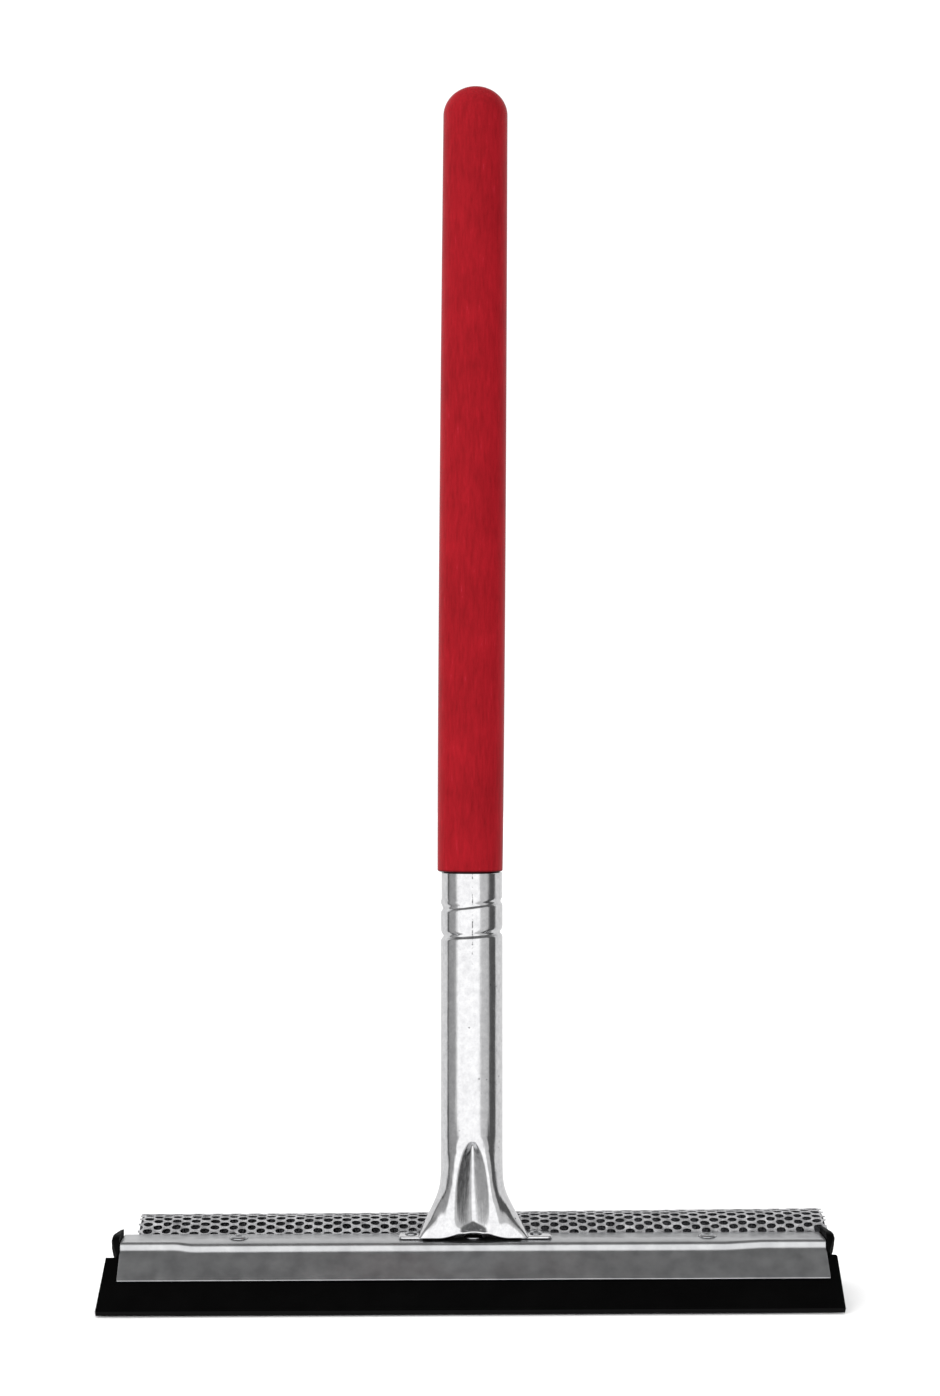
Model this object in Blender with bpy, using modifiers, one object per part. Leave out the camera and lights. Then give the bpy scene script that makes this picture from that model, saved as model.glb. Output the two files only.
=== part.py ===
"""Window squeegee: a wooden handle in a steel socket, on a folded steel head that grips a
rubber blade in front and a net-covered sponge behind.

Units are metres. X runs along the blade, -Y is the blade's side and +Z points up the handle.
The origin is on the wiping edge, in line with the handle. The sections below are drawn in
the head's own axes, which start where the handle's axis meets the top of the head's plate.
"""

import math

import bmesh
import bpy
from mathutils import Matrix, Vector

MM = 0.001

# Head: one folded steel sheet, a flat plate, a short step down and a skirt that leans forward.
SHEET = 0.8 * MM
HEAD_LENGTH = 245.3 * MM
PLATE_FRONT = -9.3 * MM
PLATE_REAR = 6.3 * MM
STEP_DROP = 2.2 * MM
STEP_RADIUS = 1.5 * MM
BEND_RADIUS = 1.3 * MM
SKIRT_LEAN = math.radians(47.9)
SKIRT_LENGTH = 13.4 * MM

# Rubber: one strip, folded under the plate and hanging out below the skirt.
GAP = 0.3 * MM
RUBBER = 2.4 * MM
BLADE_LENGTH = 25.2 * MM
EAR_TOP = 2.8 * MM
FOLD_ENDS = (-124.9 * MM, 125.8 * MM)
FOLD_OUTER_RADIUS = 2.0 * MM
EAR_ENDS = (-127.3 * MM, 126.3 * MM)
EDGE_ENDS = (-128.9 * MM, 126.4 * MM)
ROUGH_END = 140.0 * MM
HINGE_BELOW_SKIRT = 1.9 * MM

# Jaw: the inner sheet that the rivets draw up under the head.
JAW_TOP = -7.3 * MM
JAW_REAR = 5.0 * MM
JAW_FLANGE_END = 12.5 * MM
JAW_LENGTH = 242.0 * MM

# Sponge and the net around it.
SPONGE_ENDS = (-118.8 * MM, 124.8 * MM)
SPONGE_FRONT = 2.4 * MM
SPONGE_REAR = 35.4 * MM
SPONGE_TOP = 5.3 * MM
SPONGE_BOTTOM = -20.5 * MM
SPONGE_CROWN = 16.8 * MM
SPONGE_RISE = math.radians(45.4)
SPONGE_CORNERS = (13.5 * MM, 9.0 * MM, 7.0 * MM)
NET = 0.6 * MM

# Rivets: plate rivets on one line, and one through each of the socket's tabs.
PLATE_RIVET_LINE = -2.0 * MM
TAB_RIVET_LINE = -1.0 * MM
RIVET_SHANK = 1.5 * MM
RIVET_TAIL = 2.6 * MM
RIVET_HEAD_HEIGHT = 0.7 * MM
RIVET_DISH = 0.4 * MM
RIVET_GAP = 0.1 * MM
RIVET_SIDES = 18
PLATE_RIVETS = (("rivet_left", -82.0 * MM), ("rivet_middle", 0.0), ("rivet_right", 82.0 * MM))
TAB_RIVETS = (("rivet_tab_left", -21.8 * MM), ("rivet_tab_right", 21.9 * MM))
PLATE_RIVET_HEAD = 3.3 * MM
TAB_RIVET_HEAD = 2.2 * MM
CUTTER_DEPTH = 30.0 * MM

# Socket: a rolled steel tube, pinched and splayed into a foot with two tabs.
SOCKET_OFFSET = -0.57 * MM
TUBE_RADIUS = 10.86 * MM
TUBE_WALL = 0.8 * MM
TUBE_TOP = 127.5 * MM
TUBE_SIDES = 44
RIM_IN = 0.18 * MM
GROOVES = ((116.2 * MM, 0.7 * MM, 0.12), (105.9 * MM, 0.9 * MM, 0.065))
GROOVE_WIDTH = 1.5 * MM
FOOT_SLOPE = 0.53
FOOT_START = 16.8 * MM
FOOT_EASE = 2.2 * MM
FOOT_SHIFT = 0.06
FOOT_HALF_DEPTH = 7.4 * MM
FOOT_REAR_SHARE = 0.76
FOOT_NARROWS_AT = 14.0 * MM
FOOT_NARROWS_OVER = 4.0 * MM
FOOT_SQUARES_AT = 6.0 * MM
FOOT_SQUARES_OVER = 2.0 * MM
FOOT_SQUARENESS = 0.86
RECESS_TOP = 34.3 * MM
RECESS_WIDEST = 11.5 * MM
RECESS_BOTTOM = 3.9 * MM
RECESS_HALF = 6.4 * MM
RECESS_SLOPE = 0.675
RECESS_ROUND = 0.3 * MM
RECESS_REAR_SHARE = 0.5
RECESS_KEEL = (0.3 * MM, 0.9 * MM)
LIP_FLARE = 1.3 * MM
LIP_REACH = 9.0 * MM
LIP_HEIGHT = 2.6 * MM
ARCH_RISE = 2.6 * MM
ARCH_REACH = 12.5 * MM
ARCH_TOP = 7.5 * MM
TAB_THICKNESS = 0.9 * MM
TAB_HALF_DEPTH = 6.1 * MM
TAB_ENDS = (-25.6 * MM, 27.9 * MM)
TAB_ROOT = 17.0 * MM
TAB_CORNER = 1.8 * MM

# Handle: turned wood with a slight belly, a domed end and a turned-down tenon.
HANDLE_BOTTOM = 127.8 * MM
HANDLE_TOP = 405.8 * MM
HANDLE_RADII = (11.5 * MM, 11.4 * MM)
HANDLE_BELLY = 0.305 * MM
DOME_HEIGHT = 10.3 * MM
SHOULDER = 0.8 * MM
TENON_RADIUS = 9.7 * MM
TENON_NECK = 8.5 * MM
TENON_BOTTOM = 82.0 * MM
HANDLE_LEAN = math.radians(0.41)
HANDLE_OFFSET = -1.17 * MM
HANDLE_SIDES = 40
TENON_SIDES = 32

ALONG = Vector((0, -math.sin(SKIRT_LEAN), -math.cos(SKIRT_LEAN)))
INWARD = Vector((0, math.cos(SKIRT_LEAN), -math.sin(SKIRT_LEAN)))
RUBBER_FRONT = SHEET + GAP
RUBBER_MIDDLE = RUBBER_FRONT + RUBBER / 2
RUBBER_BACK = RUBBER_FRONT + RUBBER
JAW_FRONT = RUBBER_BACK + GAP


def on_skirt(down, inside):
    """The point this far down the skirt's slope and this far behind its front face."""
    return Vector((0, PLATE_FRONT, -STEP_DROP)) + ALONG * down + INWARD * inside


def fold_at(height, inside):
    """Where the level at this height meets the plane this far behind the skirt's face."""
    down = (-height - STEP_DROP - math.sin(SKIRT_LEAN) * inside) / math.cos(SKIRT_LEAN)
    return on_skirt(down, inside)


def clear_scene():
    for obj in list(bpy.data.objects):
        bpy.data.objects.remove(obj, do_unlink=True)


def new_collection(name):
    collection = bpy.data.collections.new(name)
    bpy.context.scene.collection.children.link(collection)
    return collection


def new_material(name, colour, roughness, metallic=0.0):
    material = bpy.data.materials.new(name)
    material.use_nodes = True
    shader = material.node_tree.nodes["Principled BSDF"]
    shader.inputs["Base Color"].default_value = (*colour, 1)
    shader.inputs["Roughness"].default_value = roughness
    shader.inputs["Metallic"].default_value = metallic
    return material


def add_part(name, mesh, material, parent, collection):
    obj = bpy.data.objects.new(name, mesh)
    obj.parent = parent
    mesh.materials.clear()
    mesh.materials.append(material)
    mesh.shade_smooth()
    mesh.set_sharp_from_angle(angle=math.radians(35))
    collection.objects.link(obj)
    return obj


def rounded(corners, step=math.radians(12)):
    """The outline through (y, z, radius) corners, each turned on an arc of its radius."""
    outline = []
    count = len(corners)
    for i, (y, z, radius) in enumerate(corners):
        here = Vector((y, z))
        before = Vector(corners[i - 1][:2])
        after = Vector(corners[(i + 1) % count][:2])
        back, ahead = (before - here).normalized(), (after - here).normalized()
        opening = math.acos(max(-1.0, min(1.0, back.dot(ahead))))
        turn = math.pi - opening
        if radius <= 0 or turn < 0.01:
            outline.append(here)
            continue
        centre = here + (back + ahead).normalized() * (radius / math.sin(opening / 2))
        start = here + back * (radius * math.tan(turn / 2)) - centre
        side = 1 if back.x * ahead.y - back.y * ahead.x < 0 else -1
        steps = max(2, math.ceil(turn / step))
        for k in range(steps + 1):
            angle = side * turn * k / steps
            c, s = math.cos(angle), math.sin(angle)
            outline.append(centre + Vector((start.x * c - start.y * s, start.x * s + start.y * c)))
    return outline


def inset(corners, distance):
    """A clockwise outline's corners moved inwards, with their radii changed to suit."""
    moved = []
    count = len(corners)
    for i, (y, z, radius) in enumerate(corners):
        here = Vector((y, z))
        into = (here - Vector(corners[i - 1][:2])).normalized()
        out = (Vector(corners[(i + 1) % count][:2]) - here).normalized()
        normal_in, normal_out = Vector((into.y, -into.x)), Vector((out.y, -out.x))
        share = 1 + normal_in.dot(normal_out)
        place = here + (normal_in + normal_out) * (distance / share)
        convex = into.x * out.y - into.y * out.x < 0
        new_radius = max(radius - distance, 0) if convex else radius + distance
        moved.append((place.x, place.y, new_radius))
    return moved


def extruded_mesh(outlines, ends):
    """A flat (y, z) outline, with any inner outlines as holes, extruded along X."""
    curve = bpy.data.curves.new("outline", "CURVE")
    curve.dimensions = "2D"
    curve.fill_mode = "BOTH"
    curve.extrude = (ends[1] - ends[0]) / 2
    for outline in outlines:
        spline = curve.splines.new("POLY")
        spline.points.add(len(outline) - 1)
        for point, (y, z) in zip(spline.points, outline):
            point.co = (y, z, 0, 1)
        spline.use_cyclic_u = True
    holder = bpy.data.objects.new("outline", curve)
    bpy.context.scene.collection.objects.link(holder)
    graph = bpy.context.evaluated_depsgraph_get()
    mesh = bpy.data.meshes.new_from_object(holder.evaluated_get(graph))
    bpy.data.objects.remove(holder, do_unlink=True)
    bpy.data.curves.remove(curve)
    turn = Matrix(((0, 0, 1, (ends[0] + ends[1]) / 2), (1, 0, 0, 0), (0, 1, 0, 0), (0, 0, 0, 1)))
    mesh.transform(turn)
    shape = bmesh.new()
    shape.from_mesh(mesh)
    bmesh.ops.remove_doubles(shape, verts=shape.verts, dist=1e-6)
    bmesh.ops.recalc_face_normals(shape, faces=shape.faces)
    shape.to_mesh(mesh)
    shape.free()
    return mesh


def trim_ends(mesh, near, far):
    """Cuts both ends of a strip along slanting lines, from (down, ends) near to far."""
    shape = bmesh.new()
    shape.from_mesh(mesh)
    for k, side in ((0, -1), (1, 1)):
        first = on_skirt(near[0], 0) + Vector((near[1][k], 0, 0))
        second = on_skirt(far[0], 0) + Vector((far[1][k], 0, 0))
        normal = (second - first).cross(INWARD).normalized()
        normal *= side if normal.x > 0 else -side
        geometry = shape.verts[:] + shape.edges[:] + shape.faces[:]
        cut = bmesh.ops.bisect_plane(
            shape, geom=geometry, dist=1e-7, plane_co=first, plane_no=normal, clear_outer=True
        )
        rim = [item for item in cut["geom_cut"] if isinstance(item, bmesh.types.BMEdge)]
        bmesh.ops.edgeloop_fill(shape, edges=rim)
    bmesh.ops.recalc_face_normals(shape, faces=shape.faces)
    shape.to_mesh(mesh)
    shape.free()
    return mesh


def turned_mesh(profile, sides):
    """A solid of revolution about Z, from (radius, z) points that start and end on the axis."""
    shape = bmesh.new()
    points = [shape.verts.new((radius, 0, z)) for radius, z in profile]
    edges = [shape.edges.new(pair) for pair in zip(points, points[1:])]
    bmesh.ops.spin(
        shape, geom=points + edges, axis=(0, 0, 1), cent=(0, 0, 0),
        angle=math.tau, steps=sides, use_merge=True,
    )
    bmesh.ops.remove_doubles(shape, verts=shape.verts, dist=1e-6)
    bmesh.ops.recalc_face_normals(shape, faces=shape.faces)
    mesh = bpy.data.meshes.new("turned")
    shape.to_mesh(mesh)
    shape.free()
    return mesh


def add_boolean(obj, other, operation):
    modifier = obj.modifiers.new(operation.title(), "BOOLEAN")
    modifier.operation = operation
    modifier.solver = "EXACT"
    modifier.object = other


def rivet_cutters(radius, parent, collection):
    """One object for each rivet's hole, wide enough to clear its shank."""
    cutters = []
    lines = [PLATE_RIVET_LINE] * len(PLATE_RIVETS) + [TAB_RIVET_LINE] * len(TAB_RIVETS)
    for (name, x), line in zip(PLATE_RIVETS + TAB_RIVETS, lines):
        shape = bmesh.new()
        bmesh.ops.create_cone(
            shape, cap_ends=True, segments=RIVET_SIDES,
            radius1=radius, radius2=radius, depth=CUTTER_DEPTH,
        )
        mesh = bpy.data.meshes.new(name + "_hole")
        shape.to_mesh(mesh)
        shape.free()
        cutter = bpy.data.objects.new(name + "_hole", mesh)
        cutter.parent = parent
        cutter.location = (x, line, 0)
        cutter.hide_render = True
        cutter.display_type = "WIRE"
        collection.objects.link(cutter)
        cutters.append(cutter)
    return cutters


def make_head_cover():
    end_front, end_back = on_skirt(SKIRT_LENGTH, 0), on_skirt(SKIRT_LENGTH, SHEET)
    step_inside = on_skirt(-SHEET * math.tan(SKIRT_LEAN / 2), SHEET)
    corners = [
        (PLATE_REAR, 0, 0),
        (PLATE_FRONT, 0, BEND_RADIUS),
        (PLATE_FRONT, -STEP_DROP, STEP_RADIUS),
        (end_front.y, end_front.z, 0),
        (end_back.y, end_back.z, 0),
        (step_inside.y, step_inside.z, STEP_RADIUS + SHEET),
        (PLATE_FRONT + SHEET, -SHEET, BEND_RADIUS - SHEET),
        (PLATE_REAR, -SHEET, 0),
    ]
    return extruded_mesh([rounded(corners)], (-HEAD_LENGTH / 2, HEAD_LENGTH / 2))


def make_blade_heel():
    """The held part of the rubber: the fold under the plate, and the wider ears below it."""
    heel_end = SKIRT_LENGTH + HINGE_BELOW_SKIRT - RUBBER / 2 - GAP
    front, back = on_skirt(heel_end, RUBBER_FRONT), on_skirt(heel_end, RUBBER_BACK)
    outer_fold = fold_at(-RUBBER_FRONT, RUBBER_FRONT)
    inner_fold = fold_at(-RUBBER_BACK, RUBBER_BACK)
    corners = [
        (PLATE_REAR - GAP, -RUBBER_FRONT, 0),
        (outer_fold.y, outer_fold.z, FOLD_OUTER_RADIUS),
        (front.y, front.z, 0),
        (back.y, back.z, 0),
        (inner_fold.y, inner_fold.z, GAP),
        (PLATE_REAR - GAP, -RUBBER_BACK, 0),
    ]
    mesh = extruded_mesh([rounded(corners)], (-ROUGH_END, ROUGH_END))
    return trim_ends(mesh, (EAR_TOP, EAR_ENDS), (BLADE_LENGTH, EDGE_ENDS))


def notch_cutters(parent, collection):
    """One object for each end of the rubber, to take off what stands out above the ear."""
    cutters = []
    reach = (SKIRT_LENGTH, RUBBER_BACK * 3)
    outline = [
        on_skirt(EAR_TOP, -reach[1]), on_skirt(EAR_TOP, reach[1]),
        on_skirt(-reach[0], reach[1]), on_skirt(-reach[0], -reach[1]),
    ]
    for side, ends in (("left", (-ROUGH_END * 2, FOLD_ENDS[0])), ("right", (FOLD_ENDS[1], ROUGH_END * 2))):
        mesh = extruded_mesh([[(corner.y, corner.z) for corner in outline]], ends)
        cutter = bpy.data.objects.new("notch_" + side, mesh)
        cutter.parent = parent
        cutter.hide_render = True
        cutter.display_type = "WIRE"
        collection.objects.link(cutter)
        cutters.append(cutter)
    return cutters


def make_blade_lip():
    """The free part of the rubber, in the hinge's own axes: half round at the hinge."""
    half, length = RUBBER / 2, BLADE_LENGTH - SKIRT_LENGTH - HINGE_BELOW_SKIRT
    steps = 8
    arc = [math.pi * k / steps for k in range(steps + 1)]
    outline = [(half * math.cos(a), half * math.sin(a)) for a in arc]
    outline += [(-half, -length), (half, -length)]
    mesh = extruded_mesh([outline], (-ROUGH_END, ROUGH_END))
    mesh.transform(Matrix.Rotation(-SKIRT_LEAN, 4, "X"))
    mesh.transform(Matrix.Translation(on_skirt(SKIRT_LENGTH + HINGE_BELOW_SKIRT, RUBBER_MIDDLE)))
    return trim_ends(mesh, (EAR_TOP, EAR_ENDS), (BLADE_LENGTH, EDGE_ENDS))


def make_inner_jaw():
    front, back = on_skirt(JAW_FLANGE_END, JAW_FRONT), on_skirt(JAW_FLANGE_END, JAW_FRONT + SHEET)
    outer_fold = fold_at(JAW_TOP, JAW_FRONT)
    inner_fold = fold_at(JAW_TOP - SHEET, JAW_FRONT + SHEET)
    corners = [
        (JAW_REAR, JAW_TOP, 0),
        (outer_fold.y, outer_fold.z, SHEET + GAP),
        (front.y, front.z, 0),
        (back.y, back.z, 0),
        (inner_fold.y, inner_fold.z, GAP),
        (JAW_REAR, JAW_TOP - SHEET, 0),
    ]
    return extruded_mesh([rounded(corners)], (-JAW_LENGTH / 2, JAW_LENGTH / 2))


def sponge_corners():
    """The net's outer outline, clockwise: a tongue held in the head, and a round body."""
    small, wall = 0.3 * MM, PLATE_REAR + GAP
    tongue_front = TAB_RIVET_LINE + RIVET_SHANK + 0.5 * MM
    tongue_top, tongue_bottom = -RUBBER_BACK - GAP, JAW_TOP + GAP
    nook, under_jaw = JAW_REAR + GAP, JAW_TOP - SHEET - GAP
    crown_y = wall + SPONGE_CROWN * math.sin(SPONGE_RISE)
    shoulder = crown_y - SPONGE_CROWN * math.tan(SPONGE_RISE / 2)
    rise_foot = SPONGE_TOP - SPONGE_CROWN * (1 - math.cos(SPONGE_RISE))
    top_corner, bottom_corner, front_corner = SPONGE_CORNERS
    return [
        (tongue_front, tongue_top, small),
        (wall, tongue_top, small),
        (wall, rise_foot, small),
        (shoulder, SPONGE_TOP, SPONGE_CROWN),
        (SPONGE_REAR, SPONGE_TOP, top_corner),
        (SPONGE_REAR, SPONGE_BOTTOM, bottom_corner),
        (SPONGE_FRONT, SPONGE_BOTTOM, front_corner),
        (SPONGE_FRONT, under_jaw, small),
        (nook, under_jaw, small),
        (nook, tongue_bottom, small),
        (tongue_front, tongue_bottom, small),
    ]


def make_sponge_core():
    corners = inset(sponge_corners(), NET + GAP)
    return extruded_mesh([rounded(corners)], SPONGE_ENDS)


def make_sponge_net():
    outer = sponge_corners()
    return extruded_mesh([rounded(outer), rounded(inset(outer, NET))], SPONGE_ENDS)


def make_rivet(base, head_radius):
    """A rivet with a low dished head on a surface at this height, clenched under the jaw."""
    under_head = base + RIVET_GAP
    top = under_head + RIVET_HEAD_HEIGHT
    tail_top = JAW_TOP - SHEET - RIVET_GAP
    tail_bottom = tail_top - RIVET_HEAD_HEIGHT
    profile = [
        (0, top - RIVET_DISH),
        (head_radius * 0.35, top - RIVET_DISH),
        (head_radius * 0.6, top - RIVET_DISH * 0.2),
        (head_radius * 0.75, top),
        (head_radius * 0.92, top - RIVET_HEAD_HEIGHT * 0.25),
        (head_radius, under_head + RIVET_HEAD_HEIGHT * 0.3),
        (head_radius, under_head),
        (RIVET_SHANK, under_head),
        (RIVET_SHANK, tail_top),
        (RIVET_TAIL, tail_top),
        (RIVET_TAIL * 0.8, tail_bottom),
        (0, tail_bottom),
    ]
    return turned_mesh(profile, RIVET_SIDES)


def recess_reach(height):
    """Half the recess's width at this height; above and below the recess it is negative."""
    if height > RECESS_WIDEST:
        far, power, blunt = (height - RECESS_WIDEST) / (RECESS_TOP - RECESS_WIDEST), 1.7, 0.58
    else:
        far, power, blunt = (RECESS_WIDEST - height) / (RECESS_WIDEST - RECESS_BOTTOM), 3, 0.25
    return RECESS_HALF * (1 - far ** power) ** blunt if far < 1 else 8 * MM * (1 - far)


def socket_point(angle, height):
    """The socket's outer surface, from its round tube down to its pinched and splayed foot."""
    x, y = TUBE_RADIUS * math.cos(angle), TUBE_RADIUS * math.sin(angle)
    dent = RIM_IN if height > GROOVES[0][0] + GROOVE_WIDTH else 0.0
    for level, depth, tilt in GROOVES:
        away = (height - level - tilt * x) / GROOVE_WIDTH
        dent = max(dent, depth * math.exp(-away * away * 2))
    spread = FOOT_SLOPE * FOOT_EASE * math.log1p(math.exp((FOOT_START - height) / FOOT_EASE))
    narrow = 1 / (1 + math.exp((height - FOOT_NARROWS_AT) / FOOT_NARROWS_OVER))
    half_width = TUBE_RADIUS - dent + spread
    half_depth = TUBE_RADIUS - dent + (FOOT_HALF_DEPTH - TUBE_RADIUS) * narrow
    half_depth *= 1 - (1 - FOOT_REAR_SHARE) * narrow if y > 0 else 1
    square = 1 / (1 + math.exp((height - FOOT_SQUARES_AT) / FOOT_SQUARES_OVER))
    power = 2 / (1 - FOOT_SQUARENESS * square)
    cos, sin = math.cos(angle), math.sin(angle)
    size = (abs(cos) ** power + abs(sin) ** power) ** (1 / power)
    x, y, side = half_width * cos / size, half_depth * sin / size, 1 if sin > 0 else -1
    reach = recess_reach(height)
    down = min(1, max(0, (RECESS_TOP - height) / RECESS_TOP))
    keel = RECESS_KEEL[0] + (RECESS_KEEL[1] - RECESS_KEEL[0]) * down
    deep = RECESS_SLOPE * (reach - math.hypot(x, keel)) * (RECESS_REAR_SHARE if side > 0 else 1)
    border = half_depth * (1 - (max(reach, 0) / half_width) ** power) ** (1 / power)
    over = (side * y - border + deep) / RECESS_ROUND
    y -= side * RECESS_ROUND * (math.log1p(math.exp(over)) if over < 40 else over)
    if side < 0:
        y -= LIP_FLARE * math.exp(-(x / LIP_REACH) ** 2 - height / LIP_HEIGHT)
    arch = max(0.0, 1 - (x / ARCH_REACH) ** 2) ** 2 * max(0.0, -sin) ** 0.5
    z = height + ARCH_RISE * arch * max(0.0, 1 - height / ARCH_TOP)
    return Vector((x + FOOT_SHIFT * spread, y, z))


def make_socket_tube():
    """An open surface: a tube's rings, each moved to the socket's section at its height."""
    levels = [0.6, 1.2, 2.1, 3.3, 4.6, 6, 7.5, 9.5, 11.5, 13.5, 16, 18.5, 21.5, 24.5, 27.5, 30, 32]
    levels += [33.2, 36, 50, 75, 98, 124]
    for centre, _, _ in GROOVES[::-1]:
        levels += [centre / MM + offset for offset in (-3.0, -1.6, -0.7, 0, 0.7, 1.6, 3.0)]
    levels = sorted([level * MM for level in levels] + [TUBE_TOP])
    shape = bmesh.new()
    rings = []
    for level in levels:
        ring = bmesh.ops.create_circle(shape, segments=TUBE_SIDES, radius=TUBE_RADIUS)["verts"]
        for k, vert in enumerate(ring):
            turn = math.tau * k / TUBE_SIDES
            vert.co = socket_point(turn - math.pi / 2 - 0.3 * math.sin(turn), level)
        rings.append({edge for vert in ring for edge in vert.link_edges})
    for lower, upper in zip(rings, rings[1:]):
        bmesh.ops.bridge_loops(shape, edges=list(lower | upper))
    bmesh.ops.recalc_face_normals(shape, faces=shape.faces)
    mesh = bpy.data.meshes.new("tube")
    shape.to_mesh(mesh)
    shape.free()
    return mesh


def make_tab(end):
    """One flat tab: a rounded plate from inside the foot out to its end."""
    root = math.copysign(TAB_ROOT, end)
    low, high = sorted((root, end))
    left = TAB_CORNER if end < 0 else 0
    right = TAB_CORNER if end > 0 else 0
    corners = [
        (low, TAB_HALF_DEPTH, left), (high, TAB_HALF_DEPTH, right),
        (high, -TAB_HALF_DEPTH, right), (low, -TAB_HALF_DEPTH, left),
    ]
    mesh = extruded_mesh([rounded(corners)], (RIVET_GAP, RIVET_GAP + TAB_THICKNESS))
    mesh.transform(Matrix(((0, 1, 0, 0), (0, 0, 1, 0), (1, 0, 0, 0), (0, 0, 0, 1))))
    return mesh


def handle_profile():
    """(radius, z) from the domed end down to the shoulder, and in to the axis."""
    straight_top = HANDLE_TOP - DOME_HEIGHT
    top_radius = HANDLE_RADII[1]
    profile = []
    for k in range(9):
        angle = math.pi / 2 * (1 - k / 9)
        profile.append(
            (top_radius * math.cos(angle), straight_top + DOME_HEIGHT * math.sin(angle))
        )
    profile[0] = (0, HANDLE_TOP)
    steps = 10
    low = HANDLE_BOTTOM + SHOULDER
    for k in range(steps + 1):
        up = 1 - k / steps
        radius = HANDLE_RADII[0] + (HANDLE_RADII[1] - HANDLE_RADII[0]) * up
        radius += HANDLE_BELLY * math.sin(math.pi * up**0.8)
        profile.append((radius, low + (straight_top - low) * up))
    for k in range(1, 5):
        angle = math.pi / 2 * k / 4
        inner = HANDLE_RADII[0] - SHOULDER
        profile.append((inner + SHOULDER * math.cos(angle), low - SHOULDER * math.sin(angle)))
    profile.append((0, HANDLE_BOTTOM))
    return profile


def tenon_profile():
    """(radius, z) of the tenon, with a neck where the socket's grooves grip it."""
    neck_top, neck_bottom = GROOVES[0][0] + 5 * MM, GROOVES[1][0] - 5 * MM
    slope = 1.5 * MM
    return [
        (0, HANDLE_BOTTOM + 2 * MM),
        (TENON_NECK, HANDLE_BOTTOM + 2 * MM),
        (TENON_NECK, HANDLE_BOTTOM - 1 * MM),
        (TENON_RADIUS, HANDLE_BOTTOM - 1 * MM),
        (TENON_RADIUS, neck_top),
        (TENON_NECK, neck_top - slope),
        (TENON_NECK, neck_bottom + slope),
        (TENON_RADIUS, neck_bottom),
        (TENON_RADIUS, TENON_BOTTOM + slope),
        (TENON_RADIUS - slope, TENON_BOTTOM),
        (0, TENON_BOTTOM),
    ]


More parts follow.
